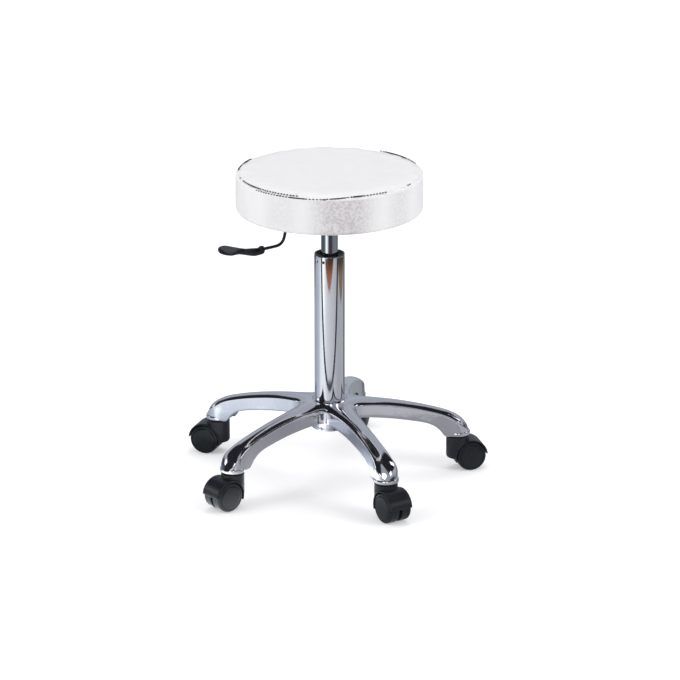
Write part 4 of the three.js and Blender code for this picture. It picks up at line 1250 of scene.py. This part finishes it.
def floor_reflection_material():
    """A glowing disc just above the floor, seen only in mirrors: painted reflections of grey and
    brown cloths round the stool.
    """
    mat = bpy.data.materials.new("painted_floor_reflections")
    tree = fresh_tree(mat)
    angle, reach, _ = bearing(node(tree, "ShaderNodeTexCoord", output="Object"))
    near = round_ramp(angle, [
        (-180, (0.36, 0.40, 0.48)), (-120, (0.40, 0.44, 0.52)), (-84, (0.56, 0.61, 0.70)),
        (-74, (0.84, 0.90, 0.98)), (-60, (0.92, 0.98, 1.00)), (-50, (0.98, 1.00, 1.00)),
        (-36, (0.92, 0.97, 1.00)), (-20, (0.72, 0.74, 0.79)), (5, (0.62, 0.63, 0.68)),
        (28, (0.55, 0.56, 0.60)), (50, (0.48, 0.49, 0.52)), (66, (0.42, 0.43, 0.48)),
        (118, (0.44, 0.45, 0.49)), (134, (0.12, 0.13, 0.14)), (146, (0.12, 0.13, 0.14)),
        (155, (0.30, 0.31, 0.34)), (180, (0.36, 0.40, 0.48)),
    ])
    far = round_ramp(angle, [
        (-180, (0.42, 0.45, 0.50)), (-150, (0.36, 0.39, 0.44)), (-125, (0.07, 0.08, 0.10)),
        (-75, (0.08, 0.11, 0.13)), (-56, (0.24, 0.28, 0.30)), (-46, (0.95, 1.00, 1.00)),
        (-26, (0.95, 1.00, 1.00)), (-16, (0.25, 0.27, 0.30)), (-4, (0.05, 0.05, 0.055)),
        (28, (0.045, 0.045, 0.05)), (46, (0.17, 0.18, 0.21)), (100, (0.20, 0.22, 0.27)),
        (125, (0.10, 0.11, 0.12)), (150, (0.36, 0.39, 0.44)), (180, (0.42, 0.45, 0.50)),
    ])
    # A painted dark line in the reflections, along the edge of the near cloth and across in front
    # of the stool
    side = abs(angle)
    ahead = reach * calculate("COSINE", side * (math.pi / 180))
    share = calculate("MINIMUM", calculate("DIVIDE", 0.455, reach), 1.0)
    rim = calculate("ARCCOSINE", share) * (180 / math.pi)
    line = largest(step_between(side - rim, -13.5, -9.5), step_between(reach, 0.525, 0.485))
    line = line * step_between(ahead, 0.442, 0.455)
    color = mixed(line, near, (0.035, 0.042, 0.050))
    for centre, apex, spread, tone in WEDGES:
        width = calculate("SQRT", largest(reach - apex, 0.0)) * spread
        inside = step_between(width - abs(angle - centre), 0.5, 4.0)
        deep = tuple(value * 0.22 for value in tone)
        color = mixed(inside, color, mixed(step_between(reach, 1.09, 1.22), tone, deep))
    color = mixed(step_between(reach, 1.222, 1.25), color, far)
    # Painted lighter and darker zones of the reflected floor.
    lift = band(angle, -56, -40, 5) * step_between(reach, 0.5, 1.0)
    close = band(angle, -74, -26, 7) * step_between(reach, 0.43, 0.38)
    away = band(angle, -4, 70, 9) * step_between(reach, 0.43, 0.38)
    beside = band(angle, -150, -96, 8) * step_between(reach, 0.29, 0.25)
    strength = lift * 0.4 + 1.0 + close * 0.5 + away * -0.35 + beside * -0.5
    surface = node(tree, "ShaderNodeEmission", color, strength)
    feed(tree.nodes.new("ShaderNodeOutputMaterial").inputs["Surface"], surface)
    return mat


def studio_world():
    """White for the lens, plain light for the stool and painted walls for its mirrors."""
    world = bpy.data.worlds.new("studio")
    tree = fresh_tree(world)
    angle, _, rise = bearing(node(tree, "ShaderNodeTexCoord", output="Generated"))
    walls = ramp(rise, [
        (0.0, (0.04, 0.04, 0.05)), (0.14, (0.03, 0.03, 0.035)), (0.20, (0.36, 0.39, 0.45)),
        (0.42, (0.46, 0.49, 0.55)), (0.50, (0.02, 0.02, 0.025)), (0.88, (0.015, 0.015, 0.02)),
        (1.0, (0.02, 0.02, 0.025)),
    ])
    back = largest(step_between(angle, 150, 156), step_between(angle, -169, -175))
    window = largest(back * band(rise, 0.4, 0.90, 0.03),
                     band(angle, -172, -152, 4) * band(rise, 0.4, 0.68, 0.03))
    front = band(angle, -6, 42, 8) * step_between(rise, 0.12, 0.20)
    left = band(angle, -84, -36, 8) * band(rise, 0.02, 0.6, 0.02)
    low = step_between(abs(angle), 128, 150) * step_between(rise, 0.2, 0.1)
    for share, tone in ((window, (0.40, 0.42, 0.48)), (front, (0.34, 0.36, 0.41)),
                        (left, (0.02, 0.02, 0.025)), (low, (0.42, 0.45, 0.50))):
        walls = mixed(share, walls, tone)
    panes = sum(band(angle, start, end, 1.0) * band(rise, foot, top, 0.012)
                for start, end, foot, top in PANES)
    painted = mixed(panes, walls, (1.0, 1.0, 1.0))
    reflected = node(tree, "ShaderNodeBackground", painted, panes + 1.0)
    room = node(tree, "ShaderNodeBackground", (0.99, 0.985, 1.0), 0.62)
    white = node(tree, "ShaderNodeBackground", (1, 1, 1), 1.0)
    lit = node(tree, "ShaderNodeMixShader", ray(tree, "Is Glossy Ray"), room, reflected)
    surface = node(tree, "ShaderNodeMixShader", ray(tree, "Is Camera Ray"), lit, white)
    feed(tree.nodes.new("ShaderNodeOutputWorld").inputs["Surface"], surface)
    return world


bpy.ops.mesh.primitive_plane_add(size=FLOOR_SIZE, location=(0, 0, 0))
floor = bpy.context.object
floor.name = "floor"
floor.data.materials.append(floor_material())

bpy.ops.mesh.primitive_circle_add(
    vertices=96, radius=REFLECTION_DISC_RADIUS, fill_type="NGON",
    location=(COLUMN[0] * MM, COLUMN[1] * MM, REFLECTION_DISC_HEIGHT))
floor_reflections = bpy.context.object
floor_reflections.name = "floor_reflection_glow"
floor_reflections.data.materials.append(floor_reflection_material())
floor_reflections.visible_camera = False
floor_reflections.visible_diffuse = False
floor_reflections.visible_transmission = False
floor_reflections.visible_volume_scatter = False
floor_reflections.visible_shadow = False

scene.world = studio_world()
scene.view_settings.view_transform = "Standard"
